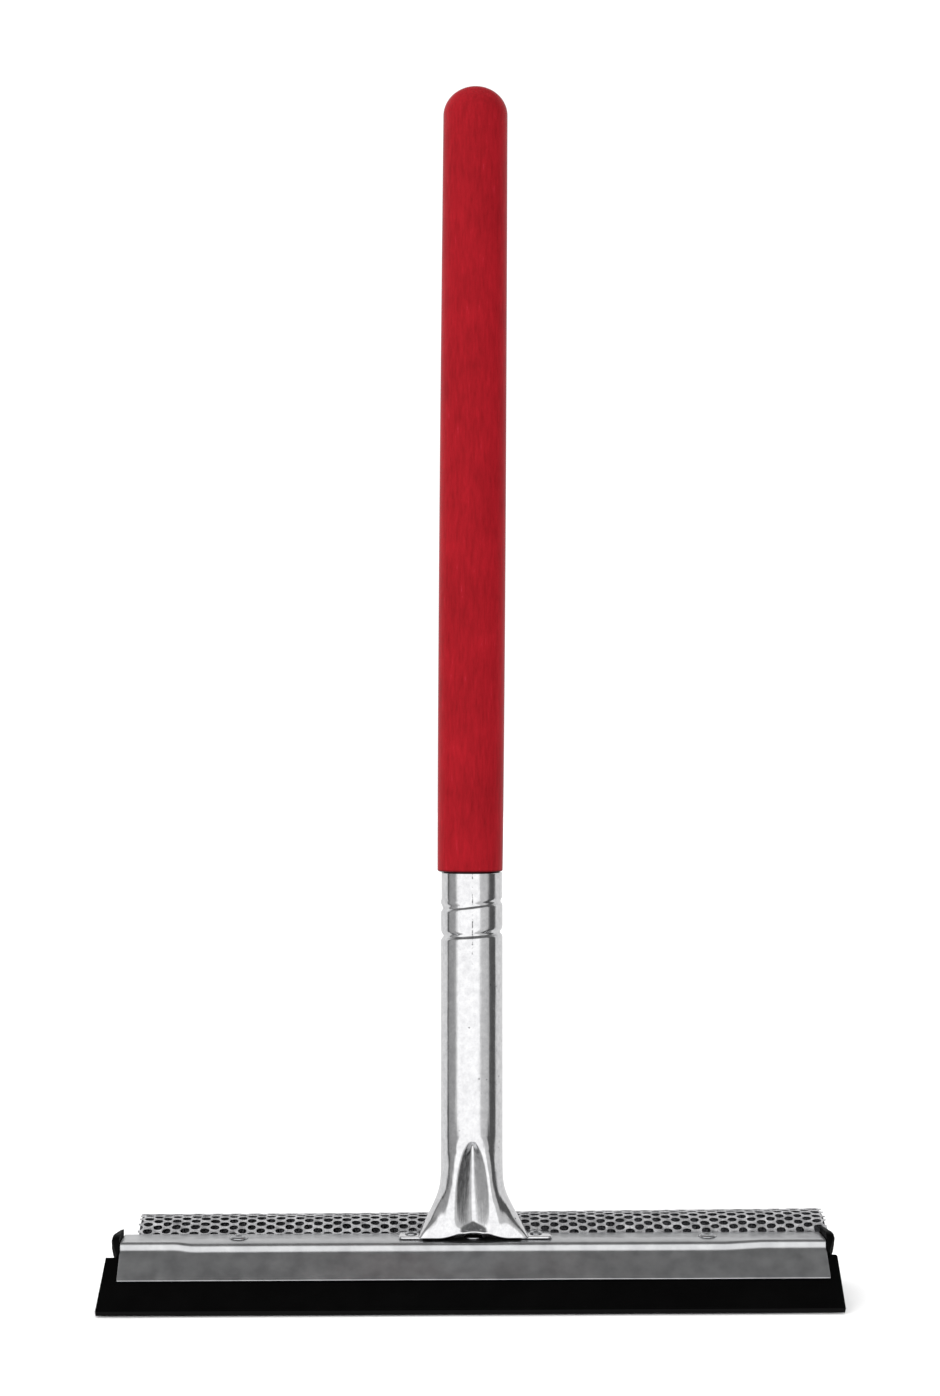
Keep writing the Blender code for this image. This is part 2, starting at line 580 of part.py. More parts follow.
def main():
    clear_scene()
    parts = new_collection("window_squeegee")
    helpers = new_collection("helpers")
    lacquer = new_material("red_lacquered_wood", (0.35, 0.012, 0.016), 0.25)
    plated = new_material("plated_steel", (0.62, 0.62, 0.63), 0.18, 1.0)
    galvanised = new_material("galvanised_sheet", (0.42, 0.42, 0.43), 0.38, 1.0)
    zinc = new_material("zinc_rivet", (0.6, 0.6, 0.6), 0.3, 1.0)
    rubber = new_material("black_rubber", (0.01, 0.01, 0.01), 0.55)
    foam = new_material("dark_foam", (0.035, 0.035, 0.037), 0.95)
    knit = new_material("grey_net", (0.4, 0.4, 0.4), 0.7)

    edge = on_skirt(BLADE_LENGTH, RUBBER_MIDDLE)
    head = bpy.data.objects.new("head_axes", None)
    head.location = -edge
    parts.objects.link(head)
    hinge = bpy.data.objects.new("blade_flex_axis", None)
    hinge.parent = head
    hinge.location = on_skirt(SKIRT_LENGTH + HINGE_BELOW_SKIRT, RUBBER_MIDDLE)
    parts.objects.link(hinge)

    holes = rivet_cutters(RIVET_SHANK + GAP, head, helpers)

    cover = add_part("head_cover", make_head_cover(), galvanised, head, parts)
    jaw = add_part("inner_jaw", make_inner_jaw(), galvanised, head, parts)
    heel = add_part("blade_heel", make_blade_heel(), rubber, head, parts)
    for notch in notch_cutters(head, helpers):
        add_boolean(heel, notch, "DIFFERENCE")
    for part in (cover, jaw, heel):
        for hole in holes:
            add_boolean(part, hole, "DIFFERENCE")

    lip_mesh = make_blade_lip()
    lip_mesh.transform(Matrix.Translation(-hinge.location))
    add_part("blade_lip", lip_mesh, rubber, hinge, parts)

    add_part("sponge_core", make_sponge_core(), foam, head, parts)
    add_part("sponge_net", make_sponge_net(), knit, head, parts)

    for name, x in PLATE_RIVETS:
        rivet = add_part(name, make_rivet(0, PLATE_RIVET_HEAD), zinc, head, parts)
        rivet.location = (x, PLATE_RIVET_LINE, 0)
    for name, x in TAB_RIVETS:
        base = RIVET_GAP + TAB_THICKNESS
        rivet = add_part(name, make_rivet(base, TAB_RIVET_HEAD), zinc, head, parts)
        rivet.location = (x, TAB_RIVET_LINE, 0)

    tube_mesh = make_socket_tube()
    tube_mesh.transform(Matrix.Translation((SOCKET_OFFSET, 0, 0)))
    socket = add_part("handle_socket", tube_mesh, plated, head, parts)
    wall = socket.modifiers.new("Wall", "SOLIDIFY")
    wall.thickness = TUBE_WALL
    wall.offset = -1
    wall.use_even_offset = False
    for side, end in zip(("left", "right"), TAB_ENDS):
        tab = bpy.data.objects.new("tab_" + side, make_tab(end))
        tab.parent = head
        tab.location.x = SOCKET_OFFSET
        tab.hide_render = True
        tab.display_type = "WIRE"
        helpers.objects.link(tab)
        add_boolean(socket, tab, "UNION")
    for hole in holes[-len(TAB_RIVETS):]:
        add_boolean(socket, hole, "DIFFERENCE")

    grip_mesh = turned_mesh(handle_profile(), HANDLE_SIDES)
    grip_mesh.transform(Matrix.Translation((0, 0, -HANDLE_BOTTOM)))
    grip_mesh.transform(Matrix.Rotation(HANDLE_LEAN, 4, "Y"))
    grip_mesh.transform(Matrix.Translation((HANDLE_OFFSET, 0, HANDLE_BOTTOM)))
    handle = add_part("handle", grip_mesh, lacquer, head, parts)
    tenon = bpy.data.objects.new("tenon", turned_mesh(tenon_profile(), TENON_SIDES))
    tenon.parent = head
    tenon.location.x = SOCKET_OFFSET
    tenon.hide_render = True
    tenon.display_type = "WIRE"
    helpers.objects.link(tenon)
    add_boolean(handle, tenon, "UNION")


main()
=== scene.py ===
"""Window squeegee: a lacquered wooden handle in a plated steel socket, on a folded steel head
that grips a rubber blade in front and a net-covered sponge behind. The sections follow the
order in which the tool is put together, from the head cover up to the handle.
"""

import math

import bmesh
import bpy
from mathutils import Matrix, Vector, noise


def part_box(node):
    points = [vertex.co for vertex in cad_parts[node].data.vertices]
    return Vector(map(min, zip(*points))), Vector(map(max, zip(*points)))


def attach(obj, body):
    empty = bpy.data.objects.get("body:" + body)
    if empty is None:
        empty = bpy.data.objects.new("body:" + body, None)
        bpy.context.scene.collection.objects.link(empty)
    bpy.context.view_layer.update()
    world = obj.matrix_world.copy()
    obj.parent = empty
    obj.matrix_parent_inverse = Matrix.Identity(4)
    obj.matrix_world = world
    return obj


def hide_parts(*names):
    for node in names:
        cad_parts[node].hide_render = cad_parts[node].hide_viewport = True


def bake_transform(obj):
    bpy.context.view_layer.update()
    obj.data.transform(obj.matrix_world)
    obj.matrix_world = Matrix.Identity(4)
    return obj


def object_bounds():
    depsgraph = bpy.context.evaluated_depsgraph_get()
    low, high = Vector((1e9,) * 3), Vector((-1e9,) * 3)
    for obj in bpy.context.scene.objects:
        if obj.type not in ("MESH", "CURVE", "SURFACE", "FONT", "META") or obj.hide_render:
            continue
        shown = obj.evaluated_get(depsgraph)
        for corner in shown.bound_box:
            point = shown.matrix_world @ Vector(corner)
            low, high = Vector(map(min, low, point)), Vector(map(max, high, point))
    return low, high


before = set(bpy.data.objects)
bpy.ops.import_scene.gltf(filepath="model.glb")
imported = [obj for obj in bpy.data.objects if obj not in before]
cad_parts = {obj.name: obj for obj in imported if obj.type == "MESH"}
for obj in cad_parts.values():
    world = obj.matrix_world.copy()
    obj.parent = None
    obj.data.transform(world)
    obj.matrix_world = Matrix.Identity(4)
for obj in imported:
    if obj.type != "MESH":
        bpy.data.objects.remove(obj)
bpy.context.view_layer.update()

# Head cover: one strip of galvanised steel sheet, sheared and folded on a press into a flat
# plate, a short step down and a skirt that leans forward over the rubber. The rest of the
# head is riveted to it.
MM = 0.001
SHEET = 0.8
PLATE_FRONT, PLATE_REAR = -9.3, 6.3
STEP_DROP, STEP_RADIUS, BEND_RADIUS = 2.2, 1.5, 1.3
SKIRT_LEAN, SKIRT_LENGTH = math.radians(47.9), 13.4
STEP_LEAN, STEP_LONGER = 0.25, 0.5
CUT_EDGE_ROUND = 0.25
MIDDLE_SINKS, MIDDLE_ENDS = Vector((0, -0.3, -0.6)), (-103, 100)
ALONG = Vector((0, -math.sin(SKIRT_LEAN), -math.cos(SKIRT_LEAN)))
INWARD = Vector((0, math.cos(SKIRT_LEAN), -math.sin(SKIRT_LEAN)))
cover_low, cover_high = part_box("head_cover")
COVER_END = (cover_high.x - cover_low.x) / 2 / MM
# Shapes are drawn in millimetres on axes that start at the plate's top, in line with the middle
# of the head: X to the right, Y to the rear and Z up. This sets them in the frame.
TO_FRAME = Matrix.Translation(
    ((cover_low.x + cover_high.x) / 2, cover_high.y - PLATE_REAR * MM, cover_high.z)
) @ Matrix.Scale(MM, 4)


def linear(code):
    """A colour written as six hex digits of sRGB, as linear RGBA."""
    values = [int(code[i:i + 2], 16) / 255 for i in (0, 2, 4)]
    values = [v / 12.92 if v <= 0.04045 else ((v + 0.055) / 1.055) ** 2.4 for v in values]
    return (*values, 1)


def new_finish(name):
    """A material with its node tree and its Principled shader."""
    material = bpy.data.materials.new(name)
    material.use_nodes = True
    return material, material.node_tree, material.node_tree.nodes["Principled BSDF"]


def put(tree, kind, inputs, **settings):
    """One node with its settings; each input is a value, or a socket to link from."""
    node = tree.nodes.new("ShaderNode" + kind)
    for name, value in settings.items():
        setattr(node, name, value)
    for name, value in inputs.items():
        if isinstance(value, bpy.types.NodeSocket):
            tree.links.new(value, node.inputs[name])
        else:
            node.inputs[name].default_value = value
    return node


def on_skirt(down, inside):
    """The point this far down the skirt's slope and this far behind its front face."""
    return Vector((0, PLATE_FRONT, -STEP_DROP)) + ALONG * down + INWARD * inside


def folded_line(shape, corners, steps=6):
    """A wire through (y, z, radius) corners, each bevelled to its radius; its points in order."""
    points = [shape.verts.new((0, y, z)) for y, z, _ in corners]
    for pair in zip(points, points[1:]):
        shape.edges.new(pair)
    for before, here, after in zip(corners, corners[1:], corners[2:]):
        arm_in = Vector(before[:2]) - Vector(here[:2])
        arm_out = Vector(after[:2]) - Vector(here[:2])
        turn = math.pi - arm_in.angle(arm_out)
        if here[2] > 0:
            corner = min(shape.verts, key=lambda v: (v.co - Vector((0, *here[:2]))).length)
            bmesh.ops.bevel(
                shape, geom=[corner], offset=here[2] * math.tan(turn / 2),
                offset_type="OFFSET", segments=steps, profile=0.5, affect="VERTICES",
                material=-1,
            )
    start = min(shape.verts, key=lambda v: (v.co - Vector((0, *corners[0][:2]))).length)
    line, edge = [start], None
    while len(line) < len(shape.verts):
        edge = next(e for e in line[-1].link_edges if e is not edge)
        line.append(edge.other_vert(line[-1]))
    return line


def drawn_out(shape, ends, steps):
    """Extrudes the wire or face at x = 0 along X, from one end to the other, in equal steps."""
    bmesh.ops.translate(shape, verts=shape.verts, vec=(ends[0], 0, 0))
    moving = shape.faces[:] or shape.edges[:]
    wire = not shape.faces
    for _ in range(steps):
        if wire:
            made = bmesh.ops.extrude_edge_only(shape, edges=moving)["geom"]
        else:
            made = bmesh.ops.extrude_face_region(shape, geom=moving)["geom"]
        fresh = [item for item in made if isinstance(item, bmesh.types.BMVert)]
        bmesh.ops.translate(shape, verts=fresh, vec=((ends[1] - ends[0]) / steps, 0, 0))
        if wire:
            moving = [e for e in made if isinstance(e, bmesh.types.BMEdge)
                      and abs(e.verts[0].co.x - e.verts[1].co.x) < 1e-6]
        else:
            moving = [item for item in made if isinstance(item, bmesh.types.BMFace)]


def finished(name, shape, material, crease=35):
    """The object of a shape drawn in millimetres on the head's axes."""
    shape.transform(TO_FRAME)
    mesh = bpy.data.meshes.new(name)
    shape.to_mesh(mesh)
    shape.free()
    mesh.materials.append(material)
    mesh.shade_smooth()
    mesh.set_sharp_from_angle(angle=math.radians(crease))
    piece = bpy.data.objects.new(name, mesh)
    bpy.context.scene.collection.objects.link(piece)
    return piece


# Hot-dip galvanised sheet, skin-passed: a satin grey metal with a faint mottle of spangle and
# fine rolling grain, so highlights break up into soft patches instead of clean lines.
galvanised, tree, shader = new_finish("galvanised_satin_sheet")
place = put(tree, "TexCoord", {}).outputs["Object"]
spangle = put(tree, "TexNoise", {"Vector": place, "Scale": 170, "Detail": 3, "Roughness": 0.5})
speck = put(tree, "TexNoise", {"Vector": place, "Scale": 1900, "Detail": 2})
stretch = put(tree, "Mapping", {"Vector": place, "Scale": (0.05, 1, 1)})
grain = put(tree, "TexNoise", {"Vector": stretch.outputs[0], "Scale": 2600, "Detail": 2})
tone = put(tree, "MapRange", {0: spangle.outputs[0], 1: 0.3, 2: 0.72, 3: 0.0, 4: 1.0})
shade = put(tree, "Mix", {0: tone.outputs[0], 6: linear("BFC0C2"), 7: linear("DCDDDE")},
            data_type="RGBA")
tree.links.new(shade.outputs[2], shader.inputs["Base Color"])
gloss = put(tree, "MapRange", {0: spangle.outputs[0], 1: 0.3, 2: 0.7, 3: 0.28, 4: 0.36})
tree.links.new(gloss.outputs[0], shader.inputs["Roughness"])
relief = put(tree, "Math", {0: speck.outputs[0], 1: grain.outputs[0]}, operation="ADD")
bump = put(tree, "Bump", {"Strength": 0.4, "Distance": 0.00003, "Height": relief.outputs[0]})
tree.links.new(bump.outputs[0], shader.inputs["Normal"])
shader.inputs["Metallic"].default_value = 1.0

shape = bmesh.new()
skirt_end = on_skirt(SKIRT_LENGTH, 0)
cover_line = folded_line(shape, [
    (PLATE_REAR, 0, 0), (PLATE_FRONT, 0, BEND_RADIUS),
    (PLATE_FRONT - STEP_LEAN, -STEP_DROP - STEP_LONGER, STEP_RADIUS),
    (skirt_end.y, skirt_end.z, 0),
])
wide = [edge for edge in shape.edges if edge.calc_length() > 4]
bmesh.ops.subdivide_edges(shape, edges=wide, cuts=7)
drawn_out(shape, (-COVER_END, COVER_END), 120)
bmesh.ops.recalc_face_normals(shape, faces=shape.faces)
first = shape.faces[:][0]
if first.normal.z < 0 and first.calc_center_median().z > -0.1:
    bmesh.ops.reverse_faces(shape, faces=shape.faces)
bmesh.ops.solidify(shape, geom=shape.faces[:], thickness=SHEET)
bmesh.ops.recalc_face_normals(shape, faces=shape.faces)
rims = [edge for edge in shape.edges if edge.calc_face_angle(0) > math.radians(60)]
bmesh.ops.bevel(
    shape, geom=rims, offset=CUT_EDGE_ROUND, segments=4, profile=0.5, affect="EDGES", material=-1
)
# The press left the sheet faintly wavy, and drew its middle down a little more than its ends.
for vert in shape.verts:
    long_wave = noise.noise(Vector((vert.co.x / 38, vert.co.y / 14, 0.3)))
    short_wave = noise.noise(Vector((vert.co.x / 9, vert.co.y / 6, 7.7)))
    vert.co -= INWARD * (0.05 * long_wave + 0.015 * short_wave)
    inside_ends = min(1, max(0, (vert.co.x - MIDDLE_ENDS[0]) / 5),
                      max(0, (MIDDLE_ENDS[1] - vert.co.x) / 12))
    near_bend = min(1, max(0, (-5 - vert.co.y) / 3.5), max(0, 1 - (-4 - vert.co.z) / 7))
    vert.co += MIDDLE_SINKS * (inside_ends * near_bend)
cover = finished("cover_sheet", shape, galvanised)
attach(cover, "head")
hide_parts("head_cover")

# Inner jaw: the smaller folded strip under the cover that the rivets draw up against the
# rubber and the sponge. It is the same galvanised sheet, and almost all of it is hidden.
inner_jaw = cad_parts["inner_jaw"]
inner_jaw.data.materials.clear()
inner_jaw.data.materials.append(galvanised)

# Rubber blade: one strip of black rubber cut from sheet, folded under the plate and hanging
# out below the skirt. Its ears stand out past the metal, and the squeezed ends of the fold
# curl up round the ends of the cover.
RUBBER, GAP = 2.4, 0.3
RUBBER_FRONT = SHEET + GAP
BLADE_LENGTH, EAR_TOP = 25.2, 2.8
EAR_ENDS, EDGE_ENDS = (-127.3, 126.3), (-128.9, 126.4)
EAR_BELOW, EAR_CORNER = -3.6, 1.3
FOLD_RADIUS = 2.9
BODY_END = COVER_END + 0.25
# Each side's bead stands out and up by this much, and is this rough.
BEADS = {-1: (2.9, 3.0, 0.0), 1: (3.1, 3.1, 0.6)}
PLATE_SHARE = 0.62

# Cut sheet rubber with a carbon filler: near black and matt, with a faint bloom and a fine
# moulded grain that only shows where light grazes it.
rubber, tree, shader = new_finish("matt_black_sheet_rubber")
place = put(tree, "TexCoord", {}).outputs["Object"]
bloom = put(tree, "TexNoise", {"Vector": place, "Scale": 90, "Detail": 6, "Roughness": 0.6})
grit = put(tree, "TexNoise", {"Vector": place, "Scale": 2600, "Detail": 2})
tone = put(tree, "MapRange", {0: bloom.outputs[0], 1: 0.35, 2: 0.7, 3: 0.0, 4: 1.0})
shade = put(tree, "Mix", {0: tone.outputs[0], 6: linear("010101"), 7: linear("030303")},
            data_type="RGBA")
tree.links.new(shade.outputs[2], shader.inputs["Base Color"])
bump = put(tree, "Bump", {"Strength": 0.4, "Distance": 0.00004, "Height": grit.outputs[0]})
tree.links.new(bump.outputs[0], shader.inputs["Normal"])
shader.inputs["Roughness"].default_value = 0.62
shader.inputs["Specular IOR Level"].default_value = 0.07

shape = bmesh.new()
fold_down = (RUBBER_FRONT - STEP_DROP - math.sin(SKIRT_LEAN) * RUBBER_FRONT) / math.cos(SKIRT_LEAN)
fold = on_skirt(fold_down, RUBBER_FRONT)
edge_front = on_skirt(BLADE_LENGTH, RUBBER_FRONT)
rubber_line = folded_line(shape, [
    (PLATE_REAR - GAP, -RUBBER_FRONT, 0), (fold.y, -RUBBER_FRONT, FOLD_RADIUS),
    (edge_front.y, edge_front.z, 0),
], steps=8)
level_part = [edge for edge in shape.edges if edge.calc_length() > 8]
hanging = max(level_part, key=lambda edge: edge.calc_length())
level = min(level_part, key=lambda edge: edge.calc_length())
bmesh.ops.subdivide_edges(shape, edges=[level], cuts=11)
bmesh.ops.subdivide_edges(shape, edges=[hanging], cuts=35)
drawn_out(shape, (-BODY_END, BODY_END), 50)
bmesh.ops.recalc_face_normals(shape, faces=shape.faces)
if shape.faces[:][0].normal.z < 0:
    bmesh.ops.reverse_faces(shape, faces=shape.faces)
bmesh.ops.solidify(shape, geom=shape.faces[:], thickness=RUBBER)
bmesh.ops.recalc_face_normals(shape, faces=shape.faces)


def down_skirt(point):
    """How far down the skirt's slope a point is."""
    return (point - on_skirt(0, 0)).dot(ALONG)


def round_fold(point):
    """How far round the fold a point is: 0 at the plate's rear, 1 at the ear's top."""
    turn_at = fold.y + 1
    if point.y > turn_at:
        return PLATE_SHARE * (PLATE_REAR - GAP - point.y) / (PLATE_REAR - GAP - turn_at)
    down = (turn_at - point.y) / (turn_at - on_skirt(EAR_TOP, 2.3).y)
    return min(1.0, PLATE_SHARE + (1 - PLATE_SHARE) * down)


def verts_of(geometry):
    """The vertices among what a bmesh operator made."""
    return [item for item in geometry if isinstance(item, bmesh.types.BMVert)]


# The ears are drawn out of the hanging part's ends, and the right one's upper corner is cut off.
for k, side in ((0, -1), (1, 1)):
    rim = [face for face in shape.faces if face.normal.x * side > 0.9]
    ear = [face for face in rim if down_skirt(face.calc_center_median()) > EAR_TOP
           and face.calc_center_median().z < EAR_BELOW]
    made = bmesh.ops.extrude_face_region(shape, geom=ear)["geom"]
    for vert in verts_of(made):
        share = (down_skirt(vert.co) - EAR_TOP) / (BLADE_LENGTH - EAR_TOP)
        vert.co.x = EAR_ENDS[k] + (EDGE_ENDS[k] - EAR_ENDS[k]) * share
    bmesh.ops.delete(shape, geom=[face for face in ear if face.is_valid], context="FACES_ONLY")
    if side > 0:
        highest = min(down_skirt(vert.co) for vert in verts_of(made))
        corner = [edge for edge in shape.edges
                  if all(vert.co.x > EAR_ENDS[1] - 0.5 and down_skirt(vert.co) < highest + 0.05
                         for vert in edge.verts)]
        bmesh.ops.bevel(shape, geom=corner, offset=EAR_CORNER, segments=4, profile=0.5,
                        affect="EDGES", material=-1)

# The rest of each end swells into a bead: it is drawn outwards, and its top then upwards.
bead_faces = set()
for side, (bead_width, bead_height, roughness) in BEADS.items():
    rim = [face for face in shape.faces if face.normal.x * side > 0.9
           and abs(abs(face.calc_center_median().x) - BODY_END) < 0.01]
    made = bmesh.ops.extrude_face_region(shape, geom=rim)["geom"]
    bmesh.ops.delete(shape, geom=[face for face in rim if face.is_valid], context="FACES_ONLY")
    for vert in verts_of(made):
        share = round_fold(vert.co)
        width = bead_width * (0.55 + min(0.45, share)) * min(1, (1.04 - share) / 0.3) ** 0.6
        wobble = roughness * noise.noise(Vector((vert.co.y / 2.2, vert.co.z / 2.2, 3.1)))
        vert.co.x = side * (BODY_END + max(0.1, width + wobble))
    shape.normal_update()
    tops = [face for face in shape.faces if face.is_valid and len(face.verts) == 4
            and abs(face.calc_center_median().x) > BODY_END + 0.02
            and abs(face.normal.x) < 0.8
            and face.calc_center_median().x * side > 0
            and down_skirt(face.calc_center_median()) < EAR_TOP - 0.2
            and (face.normal.z > 0.5 or face.normal.dot(INWARD) < -0.5)]
    made = bmesh.ops.extrude_face_region(shape, geom=tops)["geom"]
    bmesh.ops.delete(shape, geom=[face for face in tops if face.is_valid], context="FACES_ONLY")
    for vert in verts_of(made):
        share = round_fold(vert.co)
        rise = bead_height * (1 + 0.15 * share) * min(1, (1.02 - share) / 0.25) ** 0.7
        up = Vector((0, 0, 1)).lerp(-INWARD, min(1, max(0, (share - 0.6) / 0.35))).normalized()
        vert.co += up * max(0.0, rise)
    bead_faces |= {face for face in shape.faces if face.is_valid
                   and face.calc_center_median().x * side > BODY_END + 0.02
                   and down_skirt(face.calc_center_median()) < EAR_TOP}
bmesh.ops.remove_doubles(shape, verts=shape.verts, dist=0.01)
bmesh.ops.recalc_face_normals(shape, faces=shape.faces)
bead_edges = {edge for face in bead_faces if face.is_valid for edge in face.edges}
bmesh.ops.subdivide_edges(shape, edges=list(bead_edges), cuts=1, use_grid_fill=True)
bead_verts = [vert for vert in shape.verts if abs(vert.co.x) > BODY_END + 0.05
              and down_skirt(vert.co) < EAR_TOP - 0.1]
for _ in range(3):
    bmesh.ops.smooth_vert(
        shape, verts=bead_verts, factor=0.5, use_axis_x=True, use_axis_y=True, use_axis_z=True
    )
blade = finished("rubber_blade", shape, rubber)
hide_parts("blade_heel", "blade_lip")
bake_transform(blade)

# Sponge: a block of dark open-cell foam, its front edge held between the rubber and the jaw
# and the rest bulging up behind the plate. It was cut to shape and fills the net around it.
SPONGE_ENDS = (-118.4, 125.8)
SPONGE_FRONT, SPONGE_REAR, SPONGE_TOP, SPONGE_BOTTOM = 2.4, 35.4, 5.3, -20.5
CROWN, CROWN_RISE = 16.8, math.radians(45.4)
JAW_TOP = -7.3
NET, SAG, LUMPS = 0.6, 1.05, 0.25
WALL = PLATE_REAR + GAP
crown_shoulder = WALL + CROWN * math.sin(CROWN_RISE) - CROWN * math.tan(CROWN_RISE / 2)
rise_foot = SPONGE_TOP - CROWN * (1 - math.cos(CROWN_RISE))

# Reticulated polyurethane foam: charcoal, with cells about half a millimetre across that
# leave it dull and pitted.
foam, tree, shader = new_finish("charcoal_open_cell_foam")
place = put(tree, "TexCoord", {}).outputs["Object"]
cells = put(tree, "TexVoronoi", {"Vector": place, "Scale": 1300, "Randomness": 1.0})
lumps = put(tree, "TexNoise", {"Vector": place, "Scale": 350, "Detail": 4})
shade = put(tree, "Mix", {0: cells.outputs["Distance"], 6: linear("2C2C2E"), 7: linear("56565A")},
            data_type="RGBA")
tree.links.new(shade.outputs[2], shader.inputs["Base Color"])
relief = put(tree, "Math", {0: cells.outputs["Distance"], 1: lumps.outputs[0]}, operation="ADD")
bump = put(tree, "Bump", {"Strength": 0.9, "Distance": 0.0004, "Height": relief.outputs[0]})
tree.links.new(bump.outputs[0], shader.inputs["Normal"])
shader.inputs["Roughness"].default_value = 0.95
shader.inputs["Specular IOR Level"].default_value = 0.1


def sagging(point):
    """How far the crown has sunk here: it is fullest at its right end."""
    return SAG * min(1, max(0, (120 - point.x) / 175)) * min(1, max(0, (point.z + 8) / 10))


shape = bmesh.new()
inset = NET + 0.02
core_line = folded_line(shape, [
    (WALL + inset, -1.8, 0),
    (WALL + inset, rise_foot - 0.4, 0.3),
    (crown_shoulder + 0.3, SPONGE_TOP - inset, CROWN - inset),
    (SPONGE_REAR - inset, SPONGE_TOP - inset, 12.5),
    (SPONGE_REAR - inset, SPONGE_BOTTOM + inset, 8.0),
    (SPONGE_FRONT + inset, SPONGE_BOTTOM + inset, 6.0),
    (SPONGE_FRONT + inset, JAW_TOP - SHEET - GAP - inset, 0.3),
    (WALL + inset, JAW_TOP - SHEET - GAP - inset, 0),
], steps=9)
shape.edges.new((core_line[-1], core_line[0]))
section = bmesh.ops.contextual_create(shape, geom=shape.edges[:])["faces"]
bmesh.ops.subdivide_edges(
    shape, edges=[edge for edge in shape.edges if edge.calc_length() > 3], cuts=4
)
drawn_out(shape, (SPONGE_ENDS[0] + 0.6, SPONGE_ENDS[1] - 0.6), 110)
for cap in [face for face in shape.faces if len(face.verts) > 6]:
    bmesh.ops.inset_region(shape, faces=[cap], thickness=1.2, depth=0.35)
bmesh.ops.triangulate(shape, faces=[face for face in shape.faces if len(face.verts) > 6])
bmesh.ops.recalc_face_normals(shape, faces=shape.faces)
for vert in shape.verts:
    if vert.co.y > WALL + 2:
        vert.co += vert.normal * LUMPS * noise.noise(vert.co / 5.5)
    vert.co.z -= sagging(vert.co)
core = finished("sponge_foam", shape, foam, crease=60)
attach(core, "head")
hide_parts("sponge_core")

# Net: a knitted sleeve of light grey nylon, drawn tight over the sponge and clamped with it
# under the plate. Its staggered, round-cornered holes are about 3.2 by 2.6 mm.
HOLE_PITCH, HOLE_ROW = 6.7, 2.0
HOLE_HALF = (1.62, 1.32)
STRAND_HALF, BUNCHED = 0.3, 16

# Warp-knitted polyamide yarn: pale grey, soft sheen, with the stitches' fine ribs drawn a
# little coarse so that they show.
nylon, tree, shader = new_finish("pale_grey_knitted_nylon")
place = put(tree, "TexCoord", {}).outputs["Object"]
fibre = put(tree, "TexNoise", {"Vector": place, "Scale": 2600, "Detail": 3, "Roughness": 0.7})
worn = put(tree, "TexNoise", {"Vector": place, "Scale": 300, "Detail": 3})
tone = put(tree, "Math", {0: fibre.outputs[0], 1: worn.outputs[0]}, operation="MULTIPLY")
tone = put(tree, "MapRange", {0: tone.outputs[0], 1: 0.12, 2: 0.42, 3: 0.0, 4: 1.0})
shade = put(tree, "Mix", {0: tone.outputs[0], 6: linear("5E5E60"), 7: linear("C8C8CA")},
            data_type="RGBA")
tree.links.new(shade.outputs[2], shader.inputs["Base Color"])
ribs = put(tree, "TexWave", {"Vector": place, "Scale": 420, "Distortion": 6, "Detail": 2},
           bands_direction="DIAGONAL")
relief = put(tree, "Math", {0: fibre.outputs[0], 1: ribs.outputs[1]}, operation="ADD")
bump = put(tree, "Bump", {"Strength": 0.7, "Distance": 0.00012, "Height": relief.outputs[0]})
tree.links.new(bump.outputs[0], shader.inputs["Normal"])
shader.inputs["Roughness"].default_value = 0.6
shader.inputs["Sheen Weight"].default_value = 0.25

guide = bmesh.new()
net_line = folded_line(guide, [
    (WALL, -3.2, 0), (WALL, rise_foot, 0.4), (crown_shoulder, SPONGE_TOP, CROWN),
    (SPONGE_REAR, SPONGE_TOP, 13.5), (SPONGE_REAR, SPONGE_BOTTOM, 9.0),
    (SPONGE_FRONT, SPONGE_BOTTOM, 7.0), (SPONGE_FRONT, JAW_TOP - SHEET - 0.8, 0.5),
    (PLATE_REAR - 0.5, JAW_TOP - SHEET - 0.8, 0),
], steps=14)
path = [vert.co.copy() for vert in net_line]
guide.free()
lengths = [0.0]
for before, after in zip(path, path[1:]):
    lengths.append(lengths[-1] + (after - before).length)
NET_AROUND = lengths[-1]
NET_ACROSS = SPONGE_ENDS[1] - SPONGE_ENDS[0]


def round_sponge(across, around, stand):
    """The place on the sleeve this far across and around it, standing this far off."""
    around = min(max(around, 0.0), NET_AROUND - 1e-6)
    i = max(k for k in range(len(lengths) - 1) if lengths[k] <= around)
    share = (around - lengths[i]) / (lengths[i + 1] - lengths[i])
    before, after = path[max(i - 1, 0)], path[min(i + 2, len(path) - 1)]
    here = path[i].lerp(path[i + 1], share)
    tangent = (path[i + 1] - path[i]).normalized()
    tangent = ((path[i] - before).normalized() * (1 - share) + tangent
               + (after - path[i + 1]).normalized() * share) if path[i] != before else tangent
    tangent.normalize()
    outward = Vector((0, -tangent.z, tangent.y))
    return here + outward * stand + Vector((SPONGE_ENDS[0] + across, 0, 0))


def straying(across, around, layer):
    """How far the yarn strays here, across and around, as two smooth noises."""
    place = Vector((across, around, layer))
    return Vector((noise.noise(place), noise.noise(place + Vector((9.3, -1.5, 20.0)))))


def lobe(value):
    """A sine or cosine swelled a little, so that a ring it draws is squarer than an ellipse."""
    return math.copysign(abs(value) ** 0.85, value)


